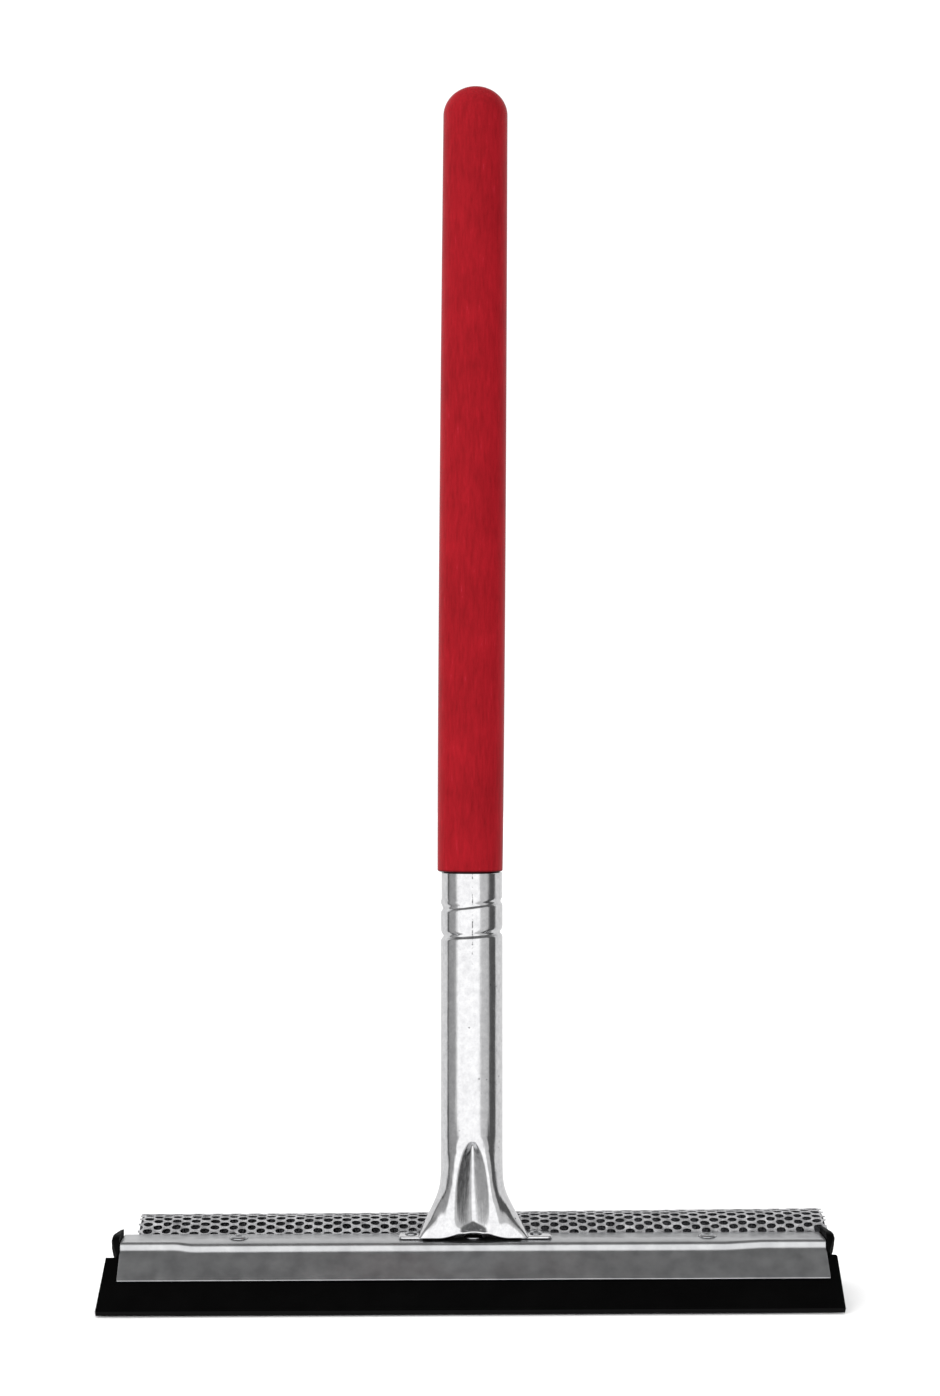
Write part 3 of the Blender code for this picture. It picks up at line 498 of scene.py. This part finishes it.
# One cell: a six-sided patch of yarn with a hole through it. Copies of it tile the flat net.
cell = bmesh.new()
corner_x = (HOLE_PITCH ** 2 / 4 + HOLE_ROW ** 2) / HOLE_PITCH
flat_x = (HOLE_PITCH ** 2 / 4 - HOLE_ROW ** 2) / HOLE_PITCH
rim = bmesh.ops.create_circle(cell, segments=6, radius=1)["verts"]
for vert, place_of in zip(rim, ((corner_x, 0), (flat_x, HOLE_ROW), (-flat_x, HOLE_ROW),
                                (-corner_x, 0), (-flat_x, -HOLE_ROW), (flat_x, -HOLE_ROW))):
    vert.co = (*place_of, 0)
bmesh.ops.subdivide_edges(cell, edges=cell.edges[:], cuts=1)
outer_edges = cell.edges[:]
sides = {}
for level in (STRAND_HALF, -STRAND_HALF):
    ring = bmesh.ops.extrude_edge_only(cell, edges=outer_edges)["geom"]
    sides[level] = verts_of(ring)
for vert in sides[STRAND_HALF] + sides[-STRAND_HALF]:
    angle = math.atan2(vert.co.y / HOLE_HALF[1], vert.co.x / HOLE_HALF[0])
    vert.co.x = HOLE_HALF[0] * lobe(math.cos(angle))
    vert.co.y = HOLE_HALF[1] * lobe(math.sin(angle))
upper = [face for face in cell.faces if any(vert in sides[STRAND_HALF] for vert in face.verts)]
lower = [face for face in cell.faces if face not in upper]
split = bmesh.ops.split(cell, geom=lower)["geom"]
for face in cell.faces:
    face.normal_update()
cell_mesh = bpy.data.meshes.new("cell")
low_verts = {vert for item in split if isinstance(item, bmesh.types.BMFace) for vert in item.verts}
for vert in cell.verts:
    rim_vert = math.hypot(vert.co.x / HOLE_HALF[0], vert.co.y / HOLE_HALF[1]) > 1.12
    if rim_vert:
        vert.co.z = -STRAND_HALF if vert in low_verts else STRAND_HALF
bmesh.ops.remove_doubles(cell, verts=cell.verts, dist=0.01)
cell.to_mesh(cell_mesh)
cell.free()

shape = bmesh.new()
columns, rows = int(NET_ACROSS / (HOLE_PITCH / 2)) + 2, int(NET_AROUND / HOLE_ROW) + 2
for column in range(columns):
    for row in range(column % 2, rows, 2):
        shift = Vector((column * HOLE_PITCH / 2, row * HOLE_ROW, 0))
        cell_mesh.transform(Matrix.Translation(shift))
        shape.from_mesh(cell_mesh)
        cell_mesh.transform(Matrix.Translation(-shift))
bmesh.ops.remove_doubles(shape, verts=shape.verts, dist=0.02)
for side, place_of in ((Vector((-1, 0, 0)), (0, 0, 0)), (Vector((1, 0, 0)), (NET_ACROSS, 0, 0)),
                       (Vector((0, -1, 0)), (0, 0, 0)), (Vector((0, 1, 0)), (0, NET_AROUND, 0))):
    cut = bmesh.ops.bisect_plane(
        shape, geom=shape.verts[:] + shape.edges[:] + shape.faces[:], dist=1e-4,
        plane_co=place_of, plane_no=side, clear_outer=True,
    )["geom_cut"]
    bmesh.ops.holes_fill(
        shape, edges=[item for item in cut if isinstance(item, bmesh.types.BMEdge)], sides=12
    )
# The flat net is then wrapped round the sponge: uneven all over, and bunched at its right end.
for vert in shape.verts:
    across, around, stand = vert.co
    sway = straying(across / 14, around / 9, 0.4) * 0.5
    jitter = straying(across / 2.3, around / 2.3, 5.4) * 0.22
    fade = min(1, across / 4, (NET_ACROSS - across) / 4)
    bunch = max(0.0, 1 - (NET_ACROSS - across) / BUNCHED) ** 2
    across += (sway.x + jitter.x) * fade
    around += (sway.y + jitter.y) * (1 if 4 < around < NET_AROUND - 4 else 0)
    around += bunch * 1.4 * math.sin(around / 3.1) * (1 if around > 4 else 0)
    lift = bunch * 0.3 * abs(noise.noise(Vector((across / 3, around / 3, 9))))
    vert.co = round_sponge(across, around, stand - NET / 2 + lift)
    vert.co.z -= sagging(vert.co)
bmesh.ops.recalc_face_normals(shape, faces=shape.faces)
net = finished("sponge_knit", shape, nylon, crease=75)
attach(net, "head")
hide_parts("sponge_net")

# Plate rivets: three zinc-plated tubular rivets through the plate, the rubber and the jaw.
# Their low heads are dished in the middle, where the tool that set them pressed.
PLATE_RIVET_LINE, TAB_RIVET_LINE = -2.0, -1.0
RIVET_SHANK, RIVET_TAIL, RIVET_HEAD_HEIGHT, RIVET_DISH = 1.5, 2.6, 0.7, 0.4
RIVET_SIDES = 48
PLATE_RIVETS = (("rivet_left", -82.0), ("rivet_middle", 0.0), ("rivet_right", 82.0))
PLATE_RIVET_HEAD = 3.3

# Bright zinc plating over steel: paler and smoother than the sheet, a little cloudy.
zinc, tree, shader = new_finish("bright_zinc_plating")
place = put(tree, "TexCoord", {}).outputs["Object"]
cloud = put(tree, "TexNoise", {"Vector": place, "Scale": 700, "Detail": 4})
gloss = put(tree, "MapRange", {0: cloud.outputs[0], 1: 0.3, 2: 0.7, 3: 0.14, 4: 0.26})
tree.links.new(gloss.outputs[0], shader.inputs["Roughness"])
shade = put(tree, "Mix", {0: cloud.outputs[0], 6: linear("A4A5A8"), 7: linear("D0D1D3")},
            data_type="RGBA")
tree.links.new(shade.outputs[2], shader.inputs["Base Color"])
shader.inputs["Metallic"].default_value = 1.0


def spun(outline, sides):
    """The shape that an outline of (radius, z) points makes when it is turned about Z."""
    shape = bmesh.new()
    points = [shape.verts.new((radius, 0, z)) for radius, z in outline]
    edges = [shape.edges.new(pair) for pair in zip(points, points[1:])]
    bmesh.ops.spin(
        shape, geom=points + edges, axis=(0, 0, 1), cent=(0, 0, 0), angle=math.tau, steps=sides,
        use_merge=True,
    )
    bmesh.ops.remove_doubles(shape, verts=shape.verts, dist=1e-4)
    bmesh.ops.recalc_face_normals(shape, faces=shape.faces)
    return shape


def rivet_shape(x, y, base, head_radius):
    """A clenched rivet, spun from half its outline."""
    under = base + 0.05
    top = under + RIVET_HEAD_HEIGHT
    tail_top = JAW_TOP - SHEET - 0.1
    outline = [
        (0, top - RIVET_DISH), (head_radius * 0.3, top - RIVET_DISH),
        (head_radius * 0.42, top - RIVET_DISH * 0.9), (head_radius * 0.55, top - RIVET_DISH * 0.3),
        (head_radius * 0.66, top - 0.02), (head_radius * 0.76, top),
        (head_radius * 0.88, top - RIVET_HEAD_HEIGHT * 0.16),
        (head_radius * 0.97, top - RIVET_HEAD_HEIGHT * 0.45),
        (head_radius, under + RIVET_HEAD_HEIGHT * 0.3), (head_radius, under),
        (RIVET_SHANK, under), (RIVET_SHANK, tail_top), (RIVET_TAIL, tail_top),
        (RIVET_TAIL, tail_top - 0.3), (RIVET_TAIL * 0.8, tail_top - RIVET_HEAD_HEIGHT),
        (0, tail_top - RIVET_HEAD_HEIGHT),
    ]
    shape = spun(outline, RIVET_SIDES)
    bmesh.ops.translate(shape, verts=shape.verts, vec=(x, y, 0))
    return shape


for name, x in PLATE_RIVETS:
    rivet = finished(name + "_zinc", rivet_shape(x, PLATE_RIVET_LINE, 0, PLATE_RIVET_HEAD), zinc)
    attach(rivet, "head")
    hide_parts(name)

# Socket: a strip of steel rolled into a tube with a butt seam in front, crimped round the
# tenon with two rolled grooves, pinched together and splayed at its foot, and plated bright
# after forming.
SOCKET_OFFSET = -0.57
TUBE_RADIUS, TUBE_WALL, TUBE_TOP, RIM_IN = 10.86, 0.8, 127.5, 0.18
GROOVES = ((116.2, 0.7, 0.12), (105.9, 0.9, 0.065))
GROOVE_WIDTH = 1.5
FOOT_SLOPE, FOOT_START, FOOT_EASE, FOOT_SHIFT = 0.53, 16.8, 2.2, 0.06
FOOT_HALF_DEPTH, FOOT_REAR_SHARE = 7.4, 0.76
FOOT_NARROWS_AT, FOOT_NARROWS_OVER, FOOT_SQUARES_AT, FOOT_SQUARES_OVER = 14.0, 4.0, 6.0, 2.0
FOOT_SQUARENESS = 0.86
RECESS_TOP, RECESS_WIDEST, RECESS_BOTTOM, RECESS_HALF = 34.6, 11.5, 0.5, 6.35
HOOD_AT, HOOD_HALF, RAMP_SLOPE, RAMP_FOOT, RAMP_ROUND = 31.6, 3.5, 1.1, 0.8, 0.8
RECESS_SLOPE, RECESS_ROUND, RECESS_REAR_SHARE = 0.675, 0.3, 0.5
LIP_FLARE, LIP_REACH, LIP_HEIGHT = 1.0, 8.0, 2.6
LEG_ROUND, LEG_OUTSIDE, LEG_HALF = 0.32, 2.2, 1.7
ARCH_RISE, ARCH_REACH, ARCH_TOP = 2.6, 12.5, 7.5
SOCKET_SIDES, SOCKET_BOTTOM, FOOT_TOP, GROOVES_FROM = 200, 0.6, 36.6, 100

SEAM_AT = (TO_FRAME @ Vector((SOCKET_OFFSET, 0, 0))).x
SEAM_BEFORE = (TO_FRAME @ Vector((0, -5, 0))).y
SEAM_ABOVE = (TO_FRAME @ Vector((0, 0, 96))).z

# Bright plated steel: nearly a mirror, with hairline scratches along the tube, a faint
# orange-peel ripple, small dark pits where the plating is thin, and torn flecks at the seam.
plated, tree, shader = new_finish("bright_plated_steel")
place = put(tree, "TexCoord", {}).outputs["Object"]
lengthwise = put(tree, "Mapping", {"Vector": place, "Scale": (1, 1, 0.035)})
hairline = put(tree, "TexNoise", {"Vector": lengthwise.outputs[0], "Scale": 1500, "Detail": 3})
ripple = put(tree, "TexNoise", {"Vector": place, "Scale": 420, "Detail": 5, "Roughness": 0.65})
pit = put(tree, "TexVoronoi", {"Vector": place, "Scale": 330, "Randomness": 1.0})
pit_mask = put(tree, "MapRange", {0: pit.outputs["Distance"], 1: 0.05, 2: 0.12, 3: 1.0, 4: 0.0})
rare = put(tree, "TexNoise", {"Vector": place, "Scale": 120, "Detail": 1})
rare_mask = put(tree, "MapRange", {0: rare.outputs[0], 1: 0.55, 2: 0.62, 3: 0.0, 4: 1.0})
pits = put(tree, "Math", {0: pit_mask.outputs[0], 1: rare_mask.outputs[0]}, operation="MULTIPLY")
tone = put(tree, "MapRange", {0: ripple.outputs[0], 1: 0.3, 2: 0.7, 3: 0.0, 4: 1.0})
shade = put(tree, "Mix", {0: tone.outputs[0], 6: linear("D8D8DA"), 7: linear("F0F0F1")},
            data_type="RGBA")
shade = put(tree, "Mix", {0: pits.outputs[0], 6: shade.outputs[2], 7: linear("6A6A6A")},
            data_type="RGBA")
spots = put(tree, "SeparateXYZ", {0: place})
offset = put(tree, "Math", {0: spots.outputs[0], 1: SEAM_AT}, operation="SUBTRACT")
offset = put(tree, "Math", {0: offset.outputs[0]}, operation="ABSOLUTE")
seam = put(tree, "MapRange", {0: offset.outputs[0], 1: 0.00008, 2: 0.0003, 3: 1.0, 4: 0.0})
torn = put(tree, "TexNoise", {"Vector": place, "Scale": 900, "Detail": 3})
torn = put(tree, "MapRange", {0: torn.outputs[0], 1: 0.5, 2: 0.6, 3: 0.0, 4: 0.85})
front = put(tree, "Math", {0: spots.outputs[1], 1: SEAM_BEFORE}, operation="LESS_THAN")
above = put(tree, "Math", {0: spots.outputs[2], 1: SEAM_ABOVE}, operation="GREATER_THAN")
seam = put(tree, "Math", {0: seam.outputs[0], 1: torn.outputs[0]}, operation="MULTIPLY")
seam = put(tree, "Math", {0: seam.outputs[0], 1: front.outputs[0]}, operation="MULTIPLY")
seam = put(tree, "Math", {0: seam.outputs[0], 1: above.outputs[0]}, operation="MULTIPLY")
shade = put(tree, "Mix", {0: seam.outputs[0], 6: shade.outputs[2], 7: linear("3A3A3A")},
            data_type="RGBA")
tree.links.new(shade.outputs[2], shader.inputs["Base Color"])
gloss = put(tree, "MapRange", {0: hairline.outputs[0], 1: 0.3, 2: 0.7, 3: 0.06, 4: 0.2})
tree.links.new(gloss.outputs[0], shader.inputs["Roughness"])
relief = put(tree, "Math", {0: ripple.outputs[0], 1: hairline.outputs[0]}, operation="ADD")
relief = put(tree, "Math", {0: relief.outputs[0], 1: pits.outputs[0]}, operation="SUBTRACT")
bump = put(tree, "Bump", {"Strength": 0.25, "Distance": 0.00008, "Height": relief.outputs[0]})
tree.links.new(bump.outputs[0], shader.inputs["Normal"])
shader.inputs["Metallic"].default_value = 1.0


# Inside the tube the steel is dull, and its colour is painted almost black: it stands in for
# the shade inside the hollow tube and its foot.
shaded_inside, tree, shader = new_finish("inside_steel_painted_shade")
place = put(tree, "TexCoord", {}).outputs["Object"]
scale = put(tree, "TexNoise", {"Vector": place, "Scale": 500, "Detail": 4})
shade = put(tree, "Mix", {0: scale.outputs[0], 6: linear("141210"), 7: linear("2C2825")},
            data_type="RGBA")
tree.links.new(shade.outputs[2], shader.inputs["Base Color"])
shader.inputs["Roughness"].default_value = 0.8
shader.inputs["Specular IOR Level"].default_value = 0.1


def recess_reach(height):
    """Half the recess's width at this height; above and below the recess it is negative."""
    if height > RECESS_WIDEST:
        far, power, blunt = (height - RECESS_WIDEST) / (RECESS_TOP - RECESS_WIDEST), 1.7, 0.46
    else:
        far, power, blunt = (RECESS_WIDEST - height) / (RECESS_WIDEST - RECESS_BOTTOM), 3, 0.45
    return RECESS_HALF * (1 - far ** power) ** blunt if far < 1 else 8 * (1 - far)


def socket_point(angle, height):
    """The socket's outer surface, from its round tube down to its pinched and splayed foot."""
    x, y = TUBE_RADIUS * math.cos(angle), TUBE_RADIUS * math.sin(angle)
    dent = RIM_IN if height > GROOVES[0][0] + GROOVE_WIDTH else 0.0
    for level, depth, tilt in GROOVES:
        away = (height - level - tilt * x) / GROOVE_WIDTH
        dent = max(dent, depth * math.exp(-away * away * (2 if away > 0 else 4)))
    spread = FOOT_SLOPE * FOOT_EASE * math.log1p(math.exp((FOOT_START - height) / FOOT_EASE))
    narrow = 1 / (1 + math.exp((height - FOOT_NARROWS_AT) / FOOT_NARROWS_OVER))
    half_width = TUBE_RADIUS - dent + spread
    half_depth = TUBE_RADIUS - dent + (FOOT_HALF_DEPTH - TUBE_RADIUS) * narrow
    half_depth *= 1 - (1 - FOOT_REAR_SHARE) * narrow if y > 0 else 1
    square = 1 / (1 + math.exp((height - FOOT_SQUARES_AT) / FOOT_SQUARES_OVER))
    power = 2 / (1 - FOOT_SQUARENESS * square)
    cos, sin = math.cos(angle), math.sin(angle)
    size = (abs(cos) ** power + abs(sin) ** power) ** (1 / power)
    x, y, side = half_width * cos / size, half_depth * sin / size, 1 if sin > 0 else -1
    reach = recess_reach(height)
    keel = 0.3 + 0.6 * min(1, max(0, (RECESS_TOP - height) / RECESS_TOP))
    deep = RECESS_SLOPE * (reach - math.hypot(x, keel)) * (RECESS_REAR_SHARE if side > 0 else 1)
    ramp = RAMP_SLOPE * (height - RAMP_FOOT)
    if deep > -5:
        both = math.exp(-deep / RAMP_ROUND) + math.exp(-ramp / RAMP_ROUND)
        deep = -RAMP_ROUND * math.log(both)
    border = half_depth * (1 - (max(reach, 0) / half_width) ** power) ** (1 / power)
    over = (side * y - border + deep) / RECESS_ROUND
    y -= side * RECESS_ROUND * (math.log1p(math.exp(over)) if over < 40 else over)
    if side < 0:
        around = math.hypot(x, max(0.0, height - HOOD_AT))
        inner = HOOD_HALF if height > HOOD_AT else reach
        from_leg = (around - inner - LEG_OUTSIDE) / LEG_HALF
        y -= LEG_ROUND * math.exp(-from_leg ** 2)
        y -= LIP_FLARE * math.exp(-(x / LIP_REACH) ** 2 - height / LIP_HEIGHT)
    arch = max(0.0, 1 - (x / ARCH_REACH) ** 2) ** 2 * max(0.0, -sin) ** 0.5
    z = height + ARCH_RISE * arch * max(0.0, 1 - height / ARCH_TOP)
    return Vector((x + FOOT_SHIFT * spread + SOCKET_OFFSET, y, z))


levels = [SOCKET_BOTTOM + 36 * k / 90 for k in range(91)]
levels += [FOOT_TOP + (GROOVES_FROM - FOOT_TOP) * k / 14 for k in range(1, 15)]
levels += [GROOVES_FROM + (TUBE_TOP - GROOVES_FROM) * k / 84 for k in range(1, 85)]
shape = bmesh.new()
rings = []
for level in levels:
    ring = bmesh.ops.create_circle(shape, segments=SOCKET_SIDES, radius=TUBE_RADIUS)["verts"]
    for k, vert in enumerate(ring):
        turn = math.tau * k / SOCKET_SIDES
        vert.co = socket_point(turn - math.pi / 2 - 0.4 * math.sin(turn), level)
    rings.append({edge for vert in ring for edge in vert.link_edges})
for lower_ring, upper_ring in zip(rings, rings[1:]):
    bmesh.ops.bridge_loops(shape, edges=list(lower_ring | upper_ring))
bmesh.ops.recalc_face_normals(shape, faces=shape.faces)
socket = finished("socket_plated", shape, plated, crease=50)
wall = socket.modifiers.new("Wall", "SOLIDIFY")
wall.thickness = TUBE_WALL * MM
wall.offset = -1
wall.use_even_offset = False
# The inner faces take the second material, painted almost black as the shade inside the tube.
wall.material_offset = 1
wall.material_offset_rim = 0
socket.data.materials.append(shaded_inside)
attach(socket, "head")
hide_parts("handle_socket")

# Socket tabs: the foot's two flat ends, cut from the same plated strip, with rounded corners.
# They lie on the cover and are riveted to it.
TAB_THICKNESS, TAB_HALF_DEPTH, TAB_ROOT, TAB_LIFT = 0.9, 6.1, 17.0, 0.1
TAB_CORNER, TAB_EDGE_ROUND = 1.8, 0.3
TAB_ENDS = {"left": -25.6, "right": 27.9}
for hand, end in TAB_ENDS.items():
    side = 1 if end > 0 else -1
    shape = bmesh.new()
    bmesh.ops.create_cube(shape, size=1)
    middle = SOCKET_OFFSET + (end + side * TAB_ROOT) / 2
    bmesh.ops.scale(shape, verts=shape.verts,
                    vec=(abs(end) - TAB_ROOT, TAB_HALF_DEPTH * 2, TAB_THICKNESS))
    bmesh.ops.translate(shape, verts=shape.verts, vec=(middle, 0, TAB_LIFT + TAB_THICKNESS / 2))
    corners = [edge for edge in shape.edges
               if abs(edge.verts[0].co.z - edge.verts[1].co.z) > 0.1
               and edge.verts[0].co.x * side > TAB_ROOT + 2]
    bmesh.ops.bevel(shape, geom=corners, offset=TAB_CORNER, segments=8, profile=0.5,
                    affect="EDGES", material=-1)
    rims = [edge for edge in shape.edges if edge.calc_face_angle(0) > math.radians(60)]
    bmesh.ops.bevel(shape, geom=rims, offset=TAB_EDGE_ROUND, segments=4, profile=0.5,
                    affect="EDGES", material=-1)
    tab = finished("socket_tab_" + hand, shape, plated)
    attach(tab, "head")

# Tab rivets: two smaller rivets of the same kind and finish, through the socket's tabs and
# the head. They are what holds the socket on.
TAB_RIVETS = (("rivet_tab_left", -21.8), ("rivet_tab_right", 21.9))
TAB_RIVET_HEAD = 2.2
for name, x in TAB_RIVETS:
    shape = rivet_shape(x, TAB_RIVET_LINE, TAB_LIFT + TAB_THICKNESS, TAB_RIVET_HEAD)
    rivet = finished(name + "_zinc", shape, zinc)
    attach(rivet, "head")
    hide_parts(name)

# Handle: turned hardwood with a slight belly and a domed end, dipped in red lacquer. Its
# tenon is driven into the socket, whose crimping left the handle leaning a little.
HANDLE_BOTTOM, HANDLE_TOP = 127.8, 405.8
HANDLE_RADII, HANDLE_BELLY, DOME_HEIGHT, SHOULDER = (11.5, 11.4), 0.305, 10.3, 0.8
TENON_RADIUS, TENON_NECK, TENON_BOTTOM = 9.7, 8.5, 82.0
HANDLE_LEAN, HANDLE_OFFSET = math.radians(0.41), -1.17
HANDLE_SIDES = 96
# Heights between which the handle's foot is painted dark, as the shadow at the joint.
JOINT_SHADE_FROM = (TO_FRAME @ Vector((0, 0, HANDLE_BOTTOM + 0.1))).z
JOINT_SHADE_TO = (TO_FRAME @ Vector((0, 0, HANDLE_BOTTOM + 0.9))).z

# Alkyd lacquer over turned wood: a deep, slightly blue red with the wood's long pores and the
# lathe's fine slanting marks showing faintly through, and paler scuffs. The lowest millimetre,
# at the joint with the socket, is painted near black as the shadow there.
lacquer, tree, shader = new_finish("red_lacquered_turned_wood")
place = put(tree, "TexCoord", {}).outputs["Object"]
turned = put(tree, "Mapping", {"Vector": place, "Rotation": (0, 0.35, 0), "Scale": (1, 1, 0.16)})
streak = put(tree, "TexNoise", {"Vector": turned.outputs[0], "Scale": 900, "Detail": 5,
                                "Roughness": 0.7})
body = put(tree, "TexNoise", {"Vector": place, "Scale": 60, "Detail": 3})
mixed = put(tree, "Mix", {0: 0.35, 2: streak.outputs[0], 3: body.outputs[0]})
tone = put(tree, "MapRange", {0: mixed.outputs[0], 1: 0.36, 2: 0.64, 3: 0.0, 4: 1.0})
shade = put(tree, "Mix", {0: tone.outputs[0], 6: linear("84121A"), 7: linear("9E1822")},
            data_type="RGBA")
scuff = put(tree, "MapRange", {0: streak.outputs[0], 1: 0.66, 2: 0.74, 3: 0.0, 4: 0.35})
shade = put(tree, "Mix", {0: scuff.outputs[0], 6: shade.outputs[2], 7: linear("B8405A")},
            data_type="RGBA")
axes = put(tree, "SeparateXYZ", {0: place})
# Painted shadow: the handle's lowest millimetre, where it meets the socket, is darkened to near
# black.
joint_shade = put(tree, "MapRange", {0: axes.outputs[2], 1: JOINT_SHADE_FROM, 2: JOINT_SHADE_TO, 3: 0.95, 4: 0.0})
shade = put(tree, "Mix", {0: joint_shade.outputs[0], 6: shade.outputs[2], 7: linear("12060A")},
            data_type="RGBA")
tree.links.new(shade.outputs[2], shader.inputs["Base Color"])
bump = put(tree, "Bump", {"Strength": 0.3, "Distance": 0.00005, "Height": streak.outputs[0]})
tree.links.new(bump.outputs[0], shader.inputs["Normal"])
shader.inputs["Roughness"].default_value = 0.3
shader.inputs["Specular IOR Level"].default_value = 0.035

straight_top, low = HANDLE_TOP - DOME_HEIGHT, HANDLE_BOTTOM + SHOULDER
outline = [(0, HANDLE_TOP)]
for k in range(1, 24):
    angle = math.pi / 2 * (1 - k / 24)
    outline.append((HANDLE_RADII[1] * math.cos(angle), straight_top + DOME_HEIGHT * math.sin(angle)))
for k in range(41):
    up = 1 - k / 40
    radius = HANDLE_RADII[0] + (HANDLE_RADII[1] - HANDLE_RADII[0]) * up
    radius += HANDLE_BELLY * math.sin(math.pi * up ** 0.8)
    outline.append((radius, low + (straight_top - low) * up))
for k in range(1, 9):
    angle = math.pi / 2 * k / 8
    inner = HANDLE_RADII[0] - SHOULDER
    outline.append((inner + SHOULDER * math.cos(angle), low - SHOULDER * math.sin(angle)))
# The tenon is necked where the grooves are crimped into it.
neck_top, neck_bottom, slope = GROOVES[0][0] + 5, GROOVES[1][0] - 5, 1.5
outline += [
    (TENON_RADIUS, HANDLE_BOTTOM - 0.01), (TENON_RADIUS, neck_top),
    (TENON_NECK, neck_top - slope), (TENON_NECK, neck_bottom + slope),
    (TENON_RADIUS, neck_bottom), (TENON_RADIUS, TENON_BOTTOM + slope),
    (TENON_RADIUS - slope, TENON_BOTTOM), (0, TENON_BOTTOM),
]
shape = spun(outline, HANDLE_SIDES)
for vert in shape.verts:
    lean = max(0.0, vert.co.z - HANDLE_BOTTOM + 0.005) * math.tan(HANDLE_LEAN)
    vert.co.x += (HANDLE_OFFSET if vert.co.z > HANDLE_BOTTOM - 0.005 else SOCKET_OFFSET) + lean
handle = finished("handle_lacquered", shape, lacquer)
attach(handle, "head")
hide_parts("handle")

# Studio: a plain pale floor, an even white surround, and a soft key light from the front
# left. Polished metal sees the surround as panels: white in front, grey and dark at the
# sides and dark overhead.
CAMERA_AT = Vector((-21.5, -890.0, 165.6))
CAMERA_YAW, CAMERA_PITCH, CAMERA_LENS = math.radians(1.307), math.radians(1.498), 65.1
camera = bpy.data.objects.new("camera", bpy.data.cameras.new("camera"))
camera.location = TO_FRAME @ CAMERA_AT
camera.rotation_euler = (math.pi / 2 + CAMERA_PITCH, 0, -CAMERA_YAW)
camera.data.sensor_fit = "VERTICAL"
camera.data.sensor_width = camera.data.sensor_height = 36
camera.data.lens = CAMERA_LENS
camera.data.clip_start = 0.05
bpy.context.scene.collection.objects.link(camera)
bpy.context.scene.camera = camera
bpy.context.scene.view_settings.view_transform = "Standard"

paint, tree, shader = new_finish("white_painted_floor")
shader.inputs["Base Color"].default_value = linear("FCFCFC")
shader.inputs["Roughness"].default_value = 0.9
shader.inputs["Specular IOR Level"].default_value = 0.1
shape = bmesh.new()
bmesh.ops.create_circle(shape, cap_ends=True, segments=96, radius=9000)
floor_drop = (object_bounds()[0].z - TO_FRAME.translation.z) / MM
bmesh.ops.translate(shape, verts=shape.verts, vec=(0, 0, floor_drop - 0.3))
floor = finished("studio_floor", shape, paint)
floor.visible_glossy = False

# Each panel is (its bearing in degrees from the camera's side, how bright it is).
PANELS = (
    (-180, 0.78), (-106, 0.78), (-103.5, 0.05), (-99.5, 0.05), (-96, 0.32), (-66, 0.38),
    (-54, 1.2), (27, 1.2), (33, 0.66), (62, 0.58), (69, 0.1), (96, 0.09), (101, 0.74),
    (180, 0.78),
)
OVERHEAD = 0.135
world = bpy.data.worlds.new("studio_surround")
world.use_nodes = True
bpy.context.scene.world = world
tree = world.node_tree
tree.nodes.clear()
ray = put(tree, "TexCoord", {}).outputs["Generated"]
axes = put(tree, "SeparateXYZ", {0: ray})
toward = put(tree, "Math", {0: axes.outputs[1], 1: -1.0}, operation="MULTIPLY")
bearing = put(tree, "Math", {0: axes.outputs[0], 1: toward.outputs[0]}, operation="ARCTAN2")
position = put(tree, "MapRange", {0: bearing.outputs[0], 1: -math.pi, 2: math.pi, 3: 0.0, 4: 1.0})
ramp = put(tree, "ValToRGB", {0: position.outputs[0]})
stops = ramp.color_ramp.elements
while len(stops) > 1:
    stops.remove(stops[0])
for k, (degrees, level) in enumerate(PANELS):
    stop = stops[0] if k == 0 else stops.new((degrees + 180) / 360)
    stop.position = (degrees + 180) / 360
    stop.color = (level, level, level, 1)
height = put(tree, "MapRange", {0: axes.outputs[2], 1: 0.5, 2: 0.78, 3: 0.0, 4: 1.0})
panels = put(tree, "Mix", {0: height.outputs[0], 6: ramp.outputs[0],
                           7: (OVERHEAD, OVERHEAD, OVERHEAD, 1)}, data_type="RGBA")
# Matt surfaces see a soft dome that is brighter above and to the left than to the right.
from_left = put(tree, "MapRange", {0: axes.outputs[0], 1: -1.0, 2: 1.0, 3: 0.48, 4: -0.48})
from_above = put(tree, "MapRange", {0: axes.outputs[2], 1: -1.0, 2: 1.0, 3: 0.1, 4: 1.6})
dome = put(tree, "Math", {0: from_left.outputs[0], 1: from_above.outputs[0]}, operation="ADD")
path_kind = put(tree, "LightPath", {})
seen = put(tree, "Mix", {0: path_kind.outputs["Is Glossy Ray"], 6: dome.outputs[0],
                         7: panels.outputs[2]}, data_type="RGBA")
seen = put(tree, "Mix", {0: path_kind.outputs["Is Camera Ray"], 6: seen.outputs[2],
                         7: (1.1, 1.1, 1.1, 1)}, data_type="RGBA")
light = put(tree, "Background", {0: seen.outputs[2], 1: 1.0})
put(tree, "OutputWorld", {0: light.outputs[0]})

key = bpy.data.objects.new("key_light", bpy.data.lights.new("key_light", "AREA"))
key.data.shape = "RECTANGLE"
key.data.size, key.data.size_y = 1.2, 1.2
key.data.energy = 4
key.location = (-0.9, -1.3, 1.3)
key.rotation_euler = (Vector((0, 0, 0.15)) - key.location).to_track_quat("-Z", "Y").to_euler()
key.visible_glossy = False
bpy.context.scene.collection.objects.link(key)
